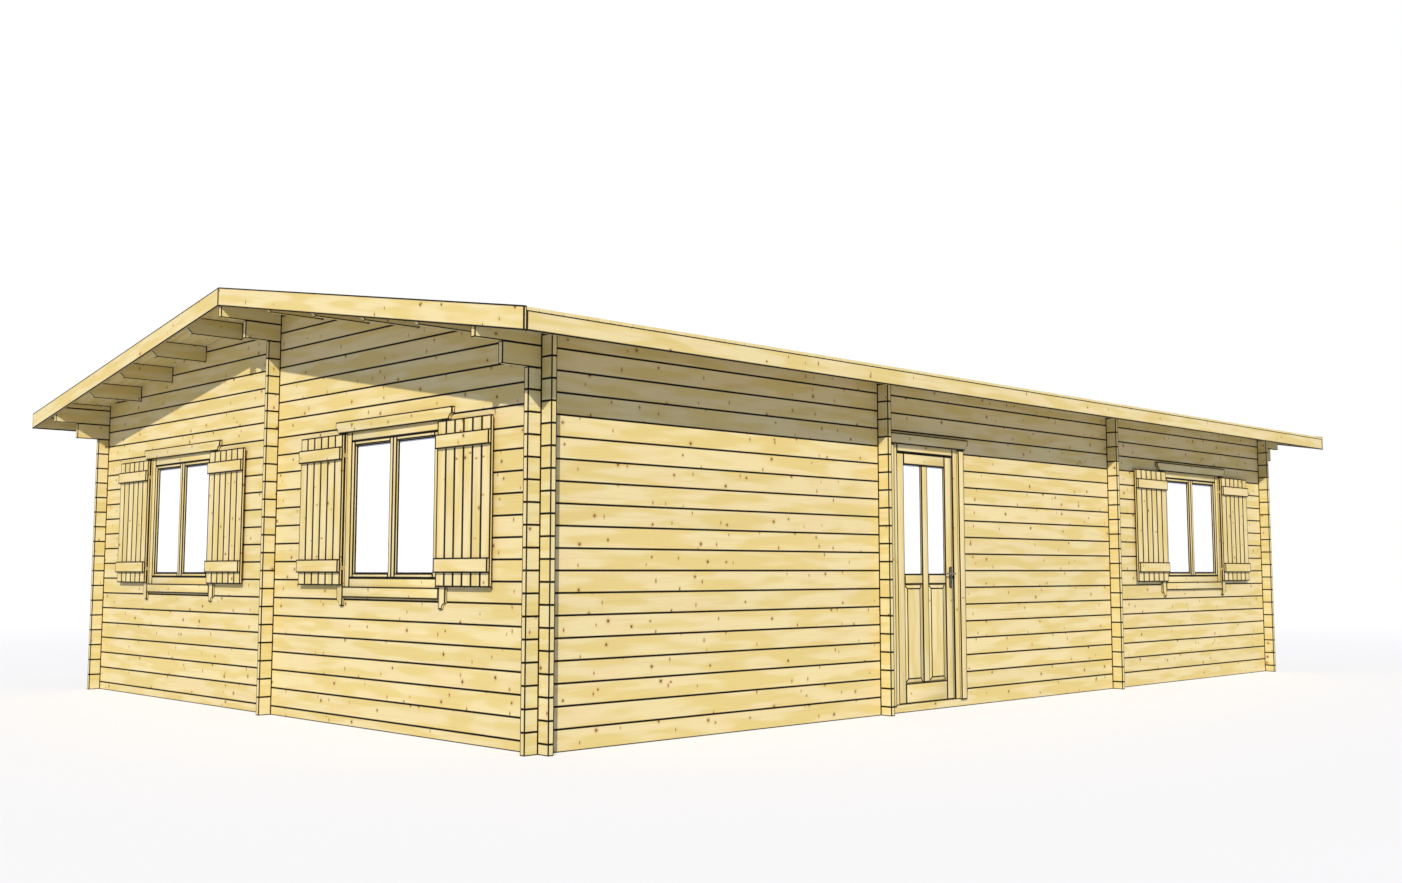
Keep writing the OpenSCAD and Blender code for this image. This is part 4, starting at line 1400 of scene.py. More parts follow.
@dataclass
class Windows:
    """Frames with pairs of casements and glazing beads, and the boards round them."""

    plan: Plan
    seed: int = 41
    log_t: float = 0.042
    pair_w: float = 1.120
    casement_low: float = 1.068
    casement_high: float = 2.068
    play: float = 0.0006
    casement_set: float = 0.002
    casement_ease: float = 0.0030
    stile: float = 0.042
    rail: float = 0.031
    glass_y: float = 0.024
    bead: float = 0.008
    face: float = 0.060
    sill_face: float = 0.063
    casing_w: float = 0.080
    casing_t: float = 0.020
    casing_drop: float = 0.145
    gap: float = 0.0004
    apron_h: float = 0.080
    head_h: float = 0.090
    head_t: float = 0.027
    head_reach: float = 0.057
    cove: float = 0.042
    eased: float = 0.0045

    def build(self) -> None:
        """Build the joinery and trim of every window, and finish the panes."""
        rng = random.Random(self.seed)
        joinery, trim = self._joinery(rng), self._trim(rng)
        for side, places in self.plan.window_places().items():
            wall = side.value
            frames_node = f"{wall}_window_frame" + ("" if side is Side.FRONT else "s")
            for pattern, name, slot, node in (
                (joinery, f"{wall}_casements", "joinery", frames_node),
                (trim, f"{wall}_casings", "trim", f"{wall}_window_trim"),
            ):
                copies = [Timber.retone(Bench.copy(pattern, name, place), rng) for place in places]
                Bench.seat(Bench.smooth(Bench.join(name, copies)), ROOT, slot, node)
        Bench.discard(joinery)
        Bench.discard(trim)
        glass = Pane().material()
        for node in ("window_glass", "door_glass"):
            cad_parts[node].material_slots[0].material = glass

    def _joinery(self, rng: random.Random) -> Piece:
        """Return the frame and both casements of a window, in its own place.

        Args:
            rng: Source of the tones.

        Returns:
            The joinery, in one mesh.
        """
        low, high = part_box("front_window_frame")
        half, inner = self.plan.frame_half, self.pair_w / 2
        bars = (
            (-half, -inner, low.z, high.z, Axis.Z),
            (inner, half, low.z, high.z, Axis.Z),
            (-inner, inner, low.z, self.casement_low, Axis.X),
            (-inner, inner, self.casement_high, high.z, Axis.X),
        )
        parts = framing(bars, 0.0, self.log_t, rng)
        casement = self._casement(rng)
        parts += [casement, Timber.retone(Bench.copy(casement, "casement", MIRROR_X), rng)]
        return Bench.join("joinery", parts)

    def _casement(self, rng: random.Random) -> Piece:
        """Return the casement on the left of the middle.

        Args:
            rng: Source of the tones.

        Returns:
            The casement, with its beads.
        """
        x0, x1 = -self.pair_w / 2 + self.play, -self.play / 2
        z0, z1 = self.casement_low + self.play, self.casement_high - self.play
        gx0, gx1, gz0, gz1 = x0 + self.stile, x1 - self.stile, z0 + self.rail, z1 - self.rail
        bars = (
            (x0, gx0, z0, z1, Axis.Z),
            (gx1, x1, z0, z1, Axis.Z),
            (gx0, gx1, z0, gz0, Axis.X),
            (gx0, gx1, gz1, z1, Axis.X),
        )
        parts = framing(bars, 0.0, self.log_t - self.casement_set, rng, self.casement_ease)
        parts += glazing_beads(gx0, gx1, gz0, gz1, self.glass_y, self.bead, rng)
        return Bench.join("casement", parts)

    def _trim(self, rng: random.Random) -> Piece:
        """Return the casings, head board and apron of a window, in its own place.

        Args:
            rng: Source of the tones.

        Returns:
            The trim, in one mesh.
        """
        edge = self.pair_w / 2 + self.face
        top = self.casement_high + self.sill_face
        apron = self.casement_low - self.sill_face
        foot = apron - self.casing_drop
        casing = coved_casing(edge, edge + self.casing_w, foot, top - self.gap, self, rng)
        twin = Timber.retone(Bench.copy(casing, "casing", MIRROR_X), rng)
        reach = edge + self.casing_w + self.head_reach
        parts = [casing, twin, coved_head(-reach, reach, top, (-reach, reach), self, rng)]
        low = (-edge + self.gap, -self.casing_t, apron - self.apron_h)
        parts.append(Timber.board("apron", low, (edge - self.gap, 0.0, apron), Axis.X, rng, BOARDS))
        return Bench.join("trim", parts)


def framing(
    bars: Sequence[tuple[float, float, float, float, Axis]], front: float, back: float,
    rng: random.Random, soft: float = 0.0026,
) -> list[Piece]:
    """Make the stiles, rails and bars of a frame, casement or leaf.

    Args:
        bars: Left, right, lower and upper edge of each, and the direction of its fibres.
        front: Depth of their outer face.
        back: Depth of their inner face.
        rng: Source of the tones.
        soft: Width of the rounding of their edges.

    Returns:
        The bars.
    """
    return [
        Timber.board("bar", (x0, front, z0), (x1, back, z1), axis, rng, JOINERY, soft)
        for x0, x1, z0, z1, axis in bars
    ]


def glazing_beads(
    x0: float, x1: float, z0: float, z1: float, back: float, size: float, rng: random.Random,
    y0: float = 0.0,
) -> list[Piece]:
    """Make the four mitred beads that hold a pane from outside, all dark: painted shade round the pane's
    edge.

    Args:
        x0: Left edge of the sight size.
        x1: Right edge.
        z0: Lower edge.
        z1: Upper edge.
        back: Depth of the pane's face.
        size: Width and depth of a bead.
        rng: Source of the tones.
        y0: Depth that the pane's face is measured from.

    Returns:
        The beads.
    """
    y1 = y0 + back
    beads = []
    for a, b, c, d, axis, inner in (
        (x0, x1, z0, z0 + size, Axis.X, z0 + size),
        (x0, x1, z1 - size, z1, Axis.X, z1 - size),
        (x0, x0 + size, z0, z1, Axis.Z, x0 + size),
        (x1 - size, x1, z0, z1, Axis.Z, x1 - size),
    ):
        bead = Bench.block("bead", (a, y1 - size, c), (b, y1, d))
        across = Axis.Z.value if axis is Axis.X else Axis.X.value

        def beside_pane(p: Vector, q: Vector) -> bool:
            """Say whether an edge is on the bead's inner side, and off the pane."""
            return near(p[across], inner) and near(q[across], inner) and max(p.y, q.y) < y1 - NEAR

        Bench.bevel_edges(bead, beside_pane, size * BEAD_ROUND, 3)
        turn = 1.0 if axis is Axis.X else -1.0
        for x_sign, x_at in ((-1.0, x0), (1.0, x1)):
            for z_sign, z_at in ((-1.0, z0), (1.0, z1)):
                if any(near(x, x_at) for x in (a, b)) and any(near(z, z_at) for z in (c, d)):
                    Bench.cut(bead, (x_at, 0.0, z_at), (turn * x_sign, 0.0, -turn * z_sign))
        beads.append(Timber.darken(Timber.mark(bead, rng, JOINERY, axis)))
    return beads


def hollow_corner(board: Piece, x: float, z: float, cove: float) -> None:
    """Hollow a corner of a board with a cove.

    Args:
        board: The board.
        x: Place of the corner across.
        z: Its height.
        cove: Radius of the cove.
    """
    Bench.bevel_edges(
        board, lambda *ends: all(near(p.x, x) and near(p.z, z) for p in ends), cove, COVE_STEPS,
        COVE_PROFILE,
    )


def coved_casing(
    x0: float, x1: float, z0: float, z1: float, sizes: Windows, rng: random.Random, hollow: bool = True
) -> Piece:
    """Make an upright casing with a cove at its outer lower corner.

    Args:
        x0: Inner edge.
        x1: Outer edge.
        z0: Foot.
        z1: Top.
        sizes: Thickness and cove.
        rng: Source of the tone.
        hollow: Whether it has the cove.

    Returns:
        The casing.
    """
    casing = Bench.block("casing", (x0, -sizes.casing_t, z0), (x1, 0.0, z1))
    if hollow:
        hollow_corner(casing, x1, z0, sizes.cove)
    return Timber.mark(Timber.ease(casing, BOARDS, sizes.eased), rng, BOARDS, Axis.Z)


def coved_head(
    x0: float, x1: float, z0: float, coves: Sequence[float], sizes: Windows, rng: random.Random
) -> Piece:
    """Make a head board with coves at the lower corners of the ends that are named.

    Args:
        x0: Left end.
        x1: Right end.
        z0: Lower edge.
        coves: Ends that have a cove.
        sizes: Height, thickness and cove.
        rng: Source of the tone.

    Returns:
        The head board.
    """
    head = Bench.block("head", (x0, -sizes.head_t, z0), (x1, 0.0, z0 + sizes.head_h))
    for end in coves:
        hollow_corner(head, end, z0, sizes.cove)
    return Timber.mark(Timber.ease(head, BOARDS, sizes.eased), rng, BOARDS, Axis.X)


# ---------------------------------------------------------------- shutters


@dataclass
class Shutters:
    """Shutters of six V-jointed boards and two battens, hung on pins at the casings."""

    plan: Plan
    seed: int = 53
    pin_x: float = 0.616
    edge: float = 0.005
    meet: float = 0.003
    low: float = 1.011
    high: float = 2.125
    back: float = 0.025
    thick: float = 0.020
    boards: int = 6
    gap: float = 0.0003
    groove: float = 0.0025
    ease: float = 0.002
    ease_angle: float = 60.0
    batten_h: float = 0.100
    batten_inset: float = 0.093
    pin_out: float = 0.035
    knuckle_r: float = 0.004
    pin_hole: float = 0.0024
    knuckle_h: float = 0.030
    pin_play: float = 0.0003
    plate_t: float = 0.0016
    plate_lap: float = 0.0009

    def build(self) -> None:
        """Build every shutter from one pattern."""
        rng = random.Random(self.seed)
        pattern = self._pattern(rng)
        places = self.plan.window_places()
        front = places[Side.FRONT][0]
        by_front, by_back = places[Side.LEFT]
        hung = {
            "front_shutter_right": (front, False),
            "front_shutter_left": (front, True),
            "gable_shutter_1": (by_back, True),
            "gable_shutter_2": (by_back, False),
            "gable_shutter_3": (by_front, True),
            "gable_shutter_4": (by_front, False),
        }
        for node, (place, mirrored) in hung.items():
            panel = self._hang(pattern, node + "_panel", place, mirrored, rng)
            Bench.seat(panel, node, "shutters", node)
        for side in (Side.RIGHT, Side.BACK):
            panels = [
                self._hang(pattern, "panel", place, mirrored, rng)
                for place in places[side] for mirrored in (False, True)
            ]
            joined = Bench.join(f"{side.value}_shutter_panels", panels)
            Bench.seat(joined, ROOT, "shutters", f"{side.value}_shutters")
        Bench.discard(pattern)

    def _hang(
        self, pattern: Piece, name: str, place: Matrix, mirrored: bool, rng: random.Random
    ) -> Piece:
        """Return a copy of the pattern on its window.

        Args:
            pattern: The shutter on the right of a window.
            name: Name of the copy.
            place: Place of the window.
            mirrored: Whether it hangs on the left.
            rng: Source of its tones.

        Returns:
            The copy.
        """
        turn = place @ MIRROR_X if mirrored else place
        return Timber.retone(Bench.copy(pattern, name, turn), rng)

    def _pattern(self, rng: random.Random) -> Piece:
        """Return the shutter on the right of a window, folded open, in the window's own place.

        Args:
            rng: Source of the tones.

        Returns:
            The shutter, with its hinge halves.
        """
        x0 = self.pin_x + self.edge
        width = self.pin_x - self.edge - self.meet
        pitch = width / self.boards
        front = -self.back - self.thick
        parts = []
        for number in range(self.boards):
            start = x0 + number * pitch
            end = start + pitch - self.gap
            board = Bench.block("board", (start, front, self.low), (end, -self.back, self.high))
            inner = [start] * (number > 0) + [end] * (number < self.boards - 1)
            Bench.bevel_edges(
                board,
                lambda a, b: lengthways(Axis.Z, a, b) and any(near(a.x, x) for x in inner),
                self.groove,
            )
            Timber.paint_joints(Timber.wood(board, BOARDS), Axis.X, Axis.Y)
            Timber.ease(board, BOARDS, self.ease, self.ease_angle)
            parts.append(Timber.mark(board, rng, BOARDS, Axis.Z))
        for foot in (self.low + self.batten_inset, self.high - self.batten_inset - self.batten_h):
            low, high = (x0, front - self.thick, foot), (x0 + width, front, foot + self.batten_h)
            parts.append(Timber.board("batten", low, high, Axis.X, rng, BOARDS, self.ease))
            parts += self._hinge(foot + self.batten_h / 2)
        return Bench.smooth(Bench.join("shutter", parts), 20.0)

    def _hinge(self, height: float) -> list[Piece]:
        """Return the knuckle and plate that turn with the shutter, above a height.

        Args:
            height: Height of the hinge's middle.

        Returns:
            The knuckle and the plate.
        """
        z0 = height + self.pin_play
        foot = (self.pin_x, -self.pin_out, z0)
        knuckle = Bench.knuckle(foot, self.knuckle_h, self.knuckle_r, self.pin_hole)
        plate_y = -self.pin_out - self.knuckle_r
        corner = (self.pin_x + self.edge + self.plate_lap, plate_y + self.plate_t, z0 + self.knuckle_h)
        plate = Bench.block("plate", (self.pin_x, plate_y, z0), corner)
        return [Timber.metal(knuckle), Timber.metal(plate)]


# ---------------------------------------------------------------- door


@dataclass
class Door:
    """Half-glazed door: framed leaf, raised panels, frame, casings, hinges and lever handle."""

    plan: Plan
    trim: Windows
    seed: int = 67
    stile: float = 0.093
    mullion: float = 0.080
    top_rail: float = 0.092
    mid_rail: float = 0.080
    bottom_rail: float = 0.158
    panel_h: float = 0.788
    bevel: float = 0.036
    panel_set: float = 0.004
    panel_bed: float = 0.014
    panel_t: float = 0.024
    panel_line: float = 0.0058
    panel_angle: float = 9.0
    glass_y: float = 0.018
    bead: float = 0.005
    clear_half: float = 0.375
    leaf_gap: float = 0.005
    seal_t: float = 0.0018
    seal_set: float = 0.001
    seal_ease: float = 0.0004
    handle_z: float = 1.095
    handle_back: float = 0.030

    def build(self) -> None:
        """Build the frame, the trim, the leaf and the fittings."""
        rng = random.Random(self.seed)
        self._frame(rng)
        self._casings(rng)
        self._leaf(rng)
        low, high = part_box("door_leaf")
        Handle(high.x - self.handle_back, self.handle_z, low.y, high.y).build()

    def _frame(self, rng: random.Random) -> None:
        """Build two jambs, a head and the dark seals in front of the leaf: rubber strips that also paint
        the gap's shade.

        Args:
            rng: Source of the tones.
        """
        low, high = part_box("door_frame")
        middle = (low.x + high.x) / 2
        leaf_low, leaf_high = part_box("door_leaf")
        inner_top = leaf_high.z + self.leaf_gap
        left, right = middle - self.clear_half, middle + self.clear_half
        parts = [
            Timber.board("jamb", low, (left, high.y, high.z), Axis.Z, rng, JOINERY),
            Timber.board("jamb", (right, low.y, low.z), high, Axis.Z, rng, JOINERY),
            Timber.board("lintel", (left, low.y, inner_top), (right, high.y, high.z), Axis.X, rng, JOINERY),
        ]
        # dark seals in the gap round the leaf: painted shade of the gap
        y0, y1, t = low.y + self.seal_set, leaf_low.y, self.seal_t
        for seal_low, seal_high, axis in (
            ((left, y0, low.z), (left + t, y1, inner_top), Axis.Z),
            ((right - t, y0, low.z), (right, y1, inner_top), Axis.Z),
            ((left, y0, inner_top - t), (right, y1, inner_top), Axis.X),
        ):
            seal = Bench.soften(Bench.block("seal", seal_low, seal_high), self.seal_ease)
            parts.append(Timber.darken(Timber.mark(seal, rng, JOINERY, axis)))
        Bench.seat(Bench.join("door_jambs", parts), ROOT, "joinery", "door_frame")

    def _casings(self, rng: random.Random) -> None:
        """Build the casings and the head board of the door.

        Args:
            rng: Source of the tones.
        """
        low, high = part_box("door_trim")
        sizes = self.trim
        frame_low, frame_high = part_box("door_frame")
        middle = (frame_low.x + frame_high.x) / 2
        edge = self.clear_half + sizes.face
        top = high.z - sizes.head_h
        right = coved_casing(edge, edge + sizes.casing_w, low.z, top - sizes.gap, sizes, rng, False)
        left = Timber.retone(Bench.copy(right, "casing", MIRROR_X), rng)
        head = coved_head(low.x - middle, high.x - middle, top, (high.x - middle,), sizes, rng)
        trim = Bench.smooth(Bench.join("door_casings", [right, left, head]))
        trim.data.transform(self.plan.on_wall(Side.FRONT, middle))
        Bench.seat(trim, ROOT, "trim", "door_trim")

    def _leaf(self, rng: random.Random) -> None:
        """Build the leaf: stiles, rails, mullions, raised panels and glazing beads.

        Args:
            rng: Source of the tones.
        """
        low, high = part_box("door_leaf")
        x0, x1, z0, z1 = low.x, high.x, low.z, high.z
        pane_w = (x1 - x0 - 2 * self.stile - self.mullion) / 2
        lefts = (x0 + self.stile, x0 + self.stile + pane_w + self.mullion)
        panel_low = z0 + self.bottom_rail
        panel_high = panel_low + self.panel_h
        pane_low = panel_high + self.mid_rail
        pane_high = z1 - self.top_rail
        bars = (
            (x0, x0 + self.stile, z0, z1, Axis.Z),
            (x1 - self.stile, x1, z0, z1, Axis.Z),
            (lefts[0], lefts[1] + pane_w, z0, panel_low, Axis.X),
            (lefts[0], lefts[1] + pane_w, pane_high, z1, Axis.X),
            (lefts[0] + pane_w, lefts[1], panel_low, pane_high, Axis.Z),
            *[(x, x + pane_w, panel_high, pane_low, Axis.X) for x in lefts],
        )
        parts = framing(bars, low.y, high.y, rng, self.trim.casement_ease)
        for x in lefts:
            parts.append(self._panel(x, x + pane_w, panel_low, panel_high, low.y, rng))
            parts += glazing_beads(x, x + pane_w, pane_low, pane_high, self.glass_y, self.bead, rng, low.y)
        Bench.seat(Bench.smooth(Bench.join("door_leaf_joinery", parts)), "door", "joinery", "door_leaf")

    def _panel(
        self, x0: float, x1: float, z0: float, z1: float, face: float, rng: random.Random
    ) -> Piece:
        """Return a panel raised towards the outside, with wide bevels that meet in mitres.

        Args:
            x0: Left edge of the sight size.
            x1: Right edge.
            z0: Lower edge.
            z1: Upper edge.
            face: Depth of the leaf's outer face.
            rng: Source of its tone.

        Returns:
            The panel.
        """
        bed = face + self.panel_bed
        panel = Bench.block("panel", (x0, bed, z0), (x1, face + self.panel_set + self.panel_t, z1))
        Bench.pick_faces(panel, lambda middle, normal: normal.y < -SQUARE)
        bpy.ops.mesh.inset(thickness=self.bevel, depth=0.0)
        bpy.ops.transform.translate(value=(0.0, self.panel_set + face - bed, 0.0))
        Bench.done()
        # the field's edges and mitres get wide dark strips: painted shade along the panel's creases
        Timber.ease(panel, JOINERY, self.panel_line, self.panel_angle)
        return Timber.mark(panel, rng, JOINERY, Axis.Z)


@dataclass
class Handle:
    """Long plates with keyholes, a lever on each side, and the hinge halves that turn with the leaf."""

    x: float
    z: float
    outer_y: float
    inner_y: float
    plate_w: float = 0.036
    plate_h: float = 0.180
    plate_t: float = 0.008
    plate_flat: float = 0.0002
    flat_face: float = 0.995
    hole_shade_depth: float = 0.002
    drop: float = 0.031
    rim: float = 0.0050
    neck_r: float = 0.008
    neck_play: float = 0.0004
    stand: float = 0.058
    lever: float = 0.112
    bar_r: float = 0.0077
    bend: float = 0.014
    taper: tuple[float, float] = (0.94, 0.92)
    tip: tuple[tuple[float, float], ...] = ((0.007, 0.94), (0.0035, 0.78), (0.0015, 0.55))
    collar_t: float = 0.004
    collar_rim: float = 0.0035
    collar_ease: float = 0.0015
    spindle_half: float = 0.004
    key_drop: float = 0.066
    key_r: float = 0.0052
    key_half: float = 0.0028
    key_h: float = 0.017
    key_deep: float = 0.005
    spare: float = 0.01
    sunk: float = 0.001
    screw_in: float = 0.014
    screw_r: float = 0.0042
    screw_t: float = 0.0012
    screw_ease: float = 0.0009
    slot_reach: float = 0.005
    slot_half: float = 0.0005
    slot_out: float = 0.003
    slot_floor: float = 0.0006
    merge: float = 0.00001
    pin_r: float = 0.0033
    pin_side: float = 0.0025
    pin_clear: float = 0.0005
    pin_play: float = 0.0003
    knuckle_r: float = 0.007
    knuckle_h: float = 0.045
    hinge_t: float = 0.003
    hinge_w: float = 0.040
    hinge_start: float = 0.001
    hinge_ease: float = 0.0006
    hinge_inset: float = 0.230
    hinge_z: tuple[float, float] = field(init=False)

    def __post_init__(self) -> None:
        """Work out the heights of the hinges from the leaf."""
        low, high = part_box("door_leaf")
        self.hinge_z = (low.z + self.hinge_inset, high.z - self.hinge_inset)

    def build(self) -> None:
        """Build the plates with the hinge halves, and the levers with their spindle."""
        outer = self._plate()
        middle = (self.outer_y + self.inner_y) / 2
        flip = Matrix.Translation((0.0, 2 * middle, 0.0)) @ MIRROR_Y
        inner = Bench.copy(outer, "plate", flip)
        plates = Bench.smooth(Bench.join("door_handle_plates", [outer, inner]))
        Bench.seat(plates, "door", "handle_metal", "door_fittings")
        hinges = Bench.smooth(Bench.join("door_hinge_leaves", self._hinges()))
        Bench.seat(hinges, "door", "hinge_metal", "door_fittings")
        lever = self._lever()
        twin = Bench.copy(lever, "lever", flip)
        half = self.spindle_half
        low = (self.x - half, self.outer_y, self.z - half)
        spindle = Bench.block("spindle", low, (self.x + half, self.inner_y, self.z + half))
        spindle.data.materials.append(LEVER_METAL.material())
        levers = Bench.join("door_lever_pair", [lever, twin, spindle])
        Bench.seat(Bench.smooth(levers, 40.0), "handle", "handle_metal", "door_handle")
        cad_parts["hinge_pins"].material_slots[0].material = HINGE_METAL.material()

    def _plate(self) -> Piece:
        """Return the outer plate: round ends, a hole for the neck, a keyhole and two screws."""
        x, z, mid_z, key_z = self.x, self.z, self.z - self.drop, self.z - self.key_drop
        half_w, half_h = self.plate_w / 2, self.plate_h / 2
        y0, y1 = self.outer_y - self.plate_t, self.outer_y
        plate = Bench.block("plate", (x - half_w, y0, mid_z - half_h), (x + half_w, y1, mid_z + half_h))
        rounding = half_w - self.plate_flat
        Bench.bevel_edges(plate, lambda a, b: abs(a.y - b.y) > self.plate_t / 2, rounding, 10)
        Bench.bevel_edges(plate, lambda a, b: max(a.y, b.y) < y0 + NEAR, self.rim, 3)
        out, floor, key = y0 - self.spare, y0 + self.key_deep, self.key_half
        cutters = [
            Bench.rod("cut", (x, out, z), (x, y1 + self.spare, z), self.neck_r + self.neck_play, 32),
            Bench.rod("cut", (x, out, key_z), (x, floor, key_z), self.key_r),
            Bench.block("cut", (x - key, out, key_z - self.key_h), (x + key, floor, key_z)),
        ]
        for cutter in cutters:
            Bench.carve(plate, cutter)
        for metal in (PLATE_METAL, RIM_AND_HOLE_SHADE_METAL):
            plate.data.materials.append(metal.material())
        # sides, rim and hole walls take the near-black rim steel: a dark rim, and painted shade in the neck
        # hole and keyhole
        for face in plate.data.polygons:
            if face.normal.y > -self.flat_face or face.center.y > y0 + self.hole_shade_depth:
                face.material_index = 1
        screws = [self._screw(mid_z + sign * (half_h - self.screw_in), y0) for sign in (-1.0, 1.0)]
        return Bench.join("plate", [plate, *screws])

    def _screw(self, height: float, face: float) -> Piece:
        """Return a domed screw head with a slot.

        Args:
            height: Its height above the ground.
            face: Depth of the plate's face.

        Returns:
            The screw head.
        """
        x, reach, half = self.x, self.slot_reach, self.slot_half
        head = Bench.rod(
            "screw", (x, face - self.screw_t, height), (x, face + self.sunk, height), self.screw_r, 20
        )
        Bench.bevel_edges(head, lambda a, b: max(a.y, b.y) < face - self.screw_t / 2, self.screw_ease, 2)
        slot_low = (x - reach, face - self.slot_out, height - half)
        slot = Bench.block("slot", slot_low, (x + reach, face - self.slot_floor, height + half))
        Bench.carve(head, slot)
        head.data.materials.append(PLATE_METAL.material())
        return head

    def _lever(self) -> Piece:
        """Return the outer lever: a collar, a neck that bends into the bar, and a rounded end."""
        face = self.outer_y - self.plate_t
        axis_y = face - self.stand
        bend = self.bend
        bpy.ops.object.select_all(action="DESELECT")
        bpy.ops.mesh.primitive_circle_add(
            vertices=24, radius=self.bar_r, fill_type="NGON", location=(self.x, self.outer_y, self.z),
            rotation=(math.pi / 2, 0.0, 0.0),
        )
        lever = Bench.settle()
        bpy.ops.object.mode_set(mode="EDIT")
        bpy.ops.mesh.select_all(action="SELECT")
        run = self.outer_y - (axis_y + bend)
        bpy.ops.mesh.extrude_region_move(TRANSFORM_OT_translate={"value": (0.0, -run, 0.0)})
        bpy.ops.mesh.spin(
            steps=8, angle=math.pi / 2, center=(self.x - bend, axis_y + bend, self.z), axis=(0.0, 0.0, -1.0)
        )
        straight = self.lever - bend - sum(length for length, _ in self.tip)
        bar = [(straight * 0.5, scale) for scale in self.taper]
        for length, scale in (*bar, *self.tip):
            bpy.ops.mesh.extrude_region_move(TRANSFORM_OT_translate={"value": (-length, 0.0, 0.0)})
            bpy.ops.transform.resize(value=(1.0, scale, scale))
        Bench.done()
        front, back = (self.x, face - self.collar_t, self.z), (self.x, face + self.sunk, self.z)
        collar = Bench.rod("collar", front, back, self.neck_r + self.collar_rim)
        Bench.bevel_edges(
            collar, lambda a, b: max(a.y, b.y) < face - self.collar_t / 2, self.collar_ease, 2
        )
        for part in (lever, collar):
            part.data.materials.append(LEVER_METAL.material())
        lever = Bench.join("lever", [lever, collar])
        Bench.edit_all(lever)
        bpy.ops.mesh.remove_doubles(threshold=self.merge)
        bpy.ops.mesh.normals_make_consistent(inside=False)
        Bench.done()
        return lever

    def _hinges(self) -> list[Piece]:
        """Return the hinge halves that turn with the leaf, each a knuckle and a plate."""
        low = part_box("door_leaf")[0]
        pin_x = low.x - self.pin_side
        pin_y = self.inner_y + self.knuckle_r + self.pin_clear
        parts = []
        for height in self.hinge_z:
            z0 = height + self.pin_play
            knuckle = Bench.knuckle((pin_x, pin_y, z0), self.knuckle_h, self.knuckle_r, self.pin_r)
            plate = Bench.block(
                "plate", (pin_x + self.pin_r + self.hinge_start, self.inner_y, z0),
                (pin_x + self.hinge_w, self.inner_y + self.hinge_t, z0 + self.knuckle_h),
            )
            Bench.soften(plate, self.hinge_ease)
            for part in (knuckle, plate):
                part.data.materials.append(HINGE_METAL.material())
            parts += [knuckle, plate]
        return parts


# ---------------------------------------------------------------- studio


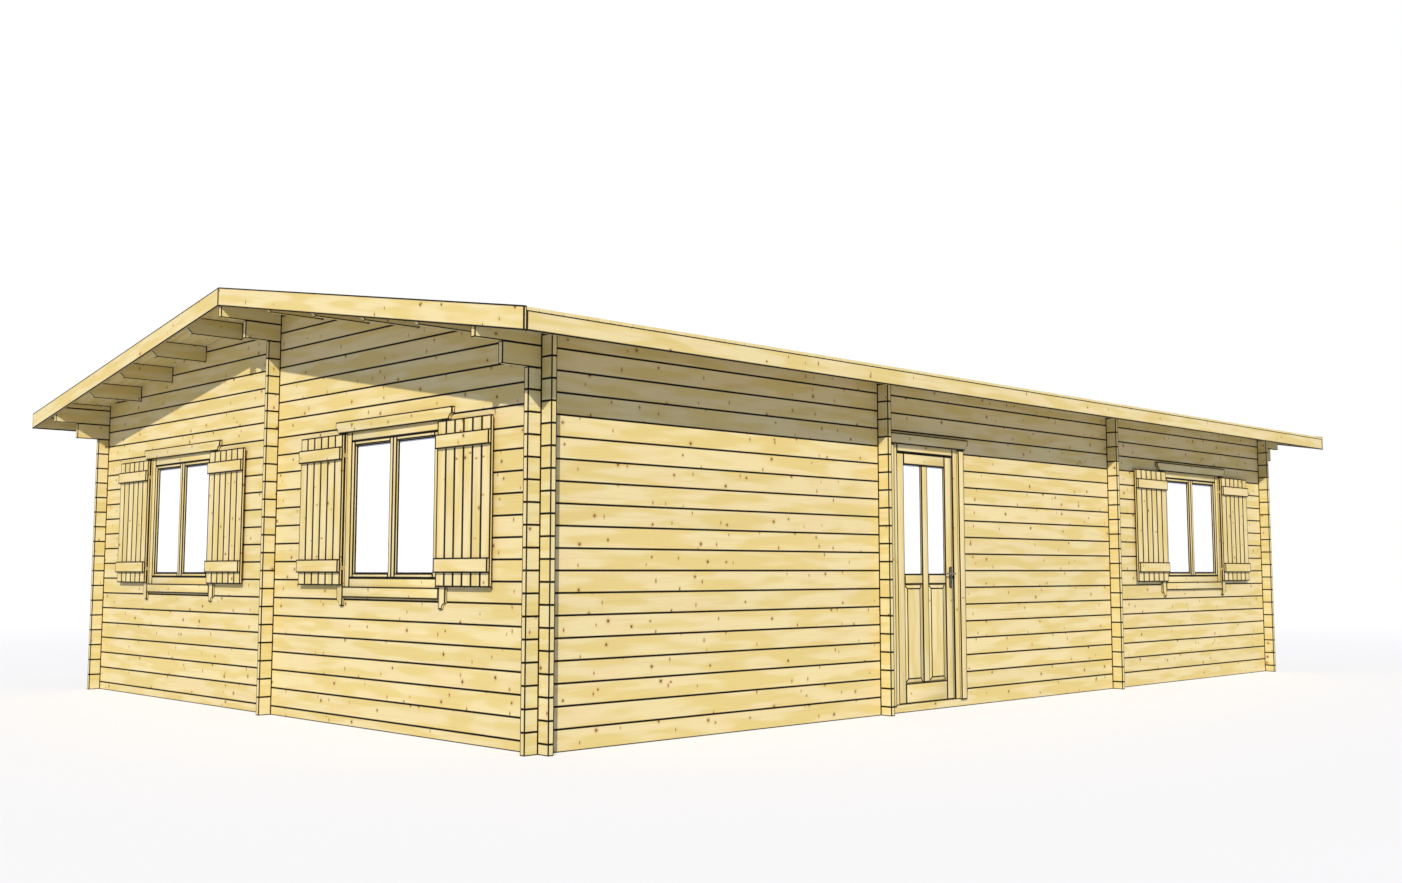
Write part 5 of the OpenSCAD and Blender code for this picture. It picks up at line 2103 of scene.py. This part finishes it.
@dataclass
class Studio:
    """Pale floor, one key light from the front left, an even white surround and the camera."""

    floor_radius: float = 70.0
    floor_drop: float = 0.002
    floor_seen: Colour = (0.37, 0.35, 0.31)
    floor_glow: float = 0.62
    fade: tuple[float, float] = (7.5, 24.0)
    key_from: tuple[float, float, float] = (-0.649, -0.602, 0.464)
    key_power: float = 3.86
    key_spread: float = math.radians(0.8)
    key_tint: Colour = (1.03, 0.985, 0.93)
    fill: float = 0.325
    sky: Colour = (0.80, 0.995, 1.62)
    bounce: Colour = (0.68, 0.755, 0.89)
    camera_at: tuple[float, float, float] = (-10.5112, -10.2861, 1.1154)
    yaw: float = math.radians(44.458)
    rise: float = math.radians(5.2918)
    lens: float = 35.955

    def build(self) -> None:
        """Set up the floor, the light and the camera."""
        self._floor()
        self._light()
        self._camera()
        bpy.context.scene.view_settings.view_transform = "Standard"

    def _floor(self) -> None:
        """Lay a pale round floor that turns white towards its edge."""
        bpy.ops.object.select_all(action="DESELECT")
        bpy.ops.mesh.primitive_circle_add(
            vertices=96, radius=self.floor_radius, fill_type="NGON", location=(0.0, 0.0, -self.floor_drop)
        )
        floor = Bench.settle()
        floor.name = "studio_floor"
        pad = NodePad("studio_floor")
        far = pad.nodes.new("ShaderNodeVectorMath")
        far.operation = "LENGTH"
        pad.feed(far, {0: pad.place()})
        fade = pad.ramp(far.outputs["Value"], *self.fade, 0.0, 1.0)
        seen = pad.nodes.new("ShaderNodeLightPath").outputs["Is Camera Ray"]
        base = pad.mix(seen, self.bounce, self.floor_seen)
        pad.paint(pad.mix(fade, base, (0.0, 0.0, 0.0)))
        glow = pad.plus(fade, pad.times(pad.minus(1.0, fade), pad.times(seen, self.floor_glow)))
        pad.links.new(glow, pad.shader.inputs["Emission Strength"])
        white = (1.0, 1.0, 1.0, 1.0)
        pad.feed(pad.shader, {"Roughness": 0.9, "Specular IOR Level": 0.1, "Emission Color": white})
        floor.data.materials.append(pad.material)

    def _light(self) -> None:
        """Add the key light and the white surround."""
        key = bpy.data.lights.new("key", "SUN")
        key.energy = self.key_power
        key.color = self.key_tint
        key.angle = self.key_spread
        lamp = bpy.data.objects.new("key", key)
        lamp.rotation_euler = Vector(self.key_from).to_track_quat("Z", "Y").to_euler()
        bpy.context.scene.collection.objects.link(lamp)
        world = bpy.data.worlds.new("surround")
        bpy.context.scene.world = world
        world.use_nodes = True
        nodes, links = world.node_tree.nodes, world.node_tree.links
        nodes.clear()
        path = nodes.new("ShaderNodeLightPath")
        seen, lit = nodes.new("ShaderNodeBackground"), nodes.new("ShaderNodeBackground")
        seen.inputs["Color"].default_value = (1.0, 1.0, 1.0, 1.0)
        lit.inputs["Color"].default_value = (*self.sky, 1.0)
        lit.inputs["Strength"].default_value = self.fill
        blend, output = nodes.new("ShaderNodeMixShader"), nodes.new("ShaderNodeOutputWorld")
        links.new(path.outputs["Is Camera Ray"], blend.inputs[0])
        links.new(lit.outputs[0], blend.inputs[1])
        links.new(seen.outputs[0], blend.inputs[2])
        links.new(blend.outputs[0], output.inputs["Surface"])

    def _camera(self) -> None:
        """Add the camera, low and off the front left corner."""
        data = bpy.data.cameras.new("camera")
        data.lens = self.lens
        data.sensor_width = 36.0
        data.clip_end = 500.0
        camera = bpy.data.objects.new("camera", data)
        camera.location = self.camera_at
        camera.rotation_euler = (math.pi / 2 + self.rise, 0.0, -self.yaw)
        bpy.context.scene.collection.objects.link(camera)
        bpy.context.scene.camera = camera


def main() -> None:
    """Build the cabin in order, then the studio."""
    logging.basicConfig(level=logging.INFO, format="%(name)s: %(message)s")
    plan = Plan()
    LogWork(plan).build()
    Roof(plan).build()
    Floor().build()
    windows = Windows(plan)
    windows.build()
    Shutters(plan).build()
    Door(plan, windows).build()
    Studio().build()


if __name__ == "__main__":
    main()
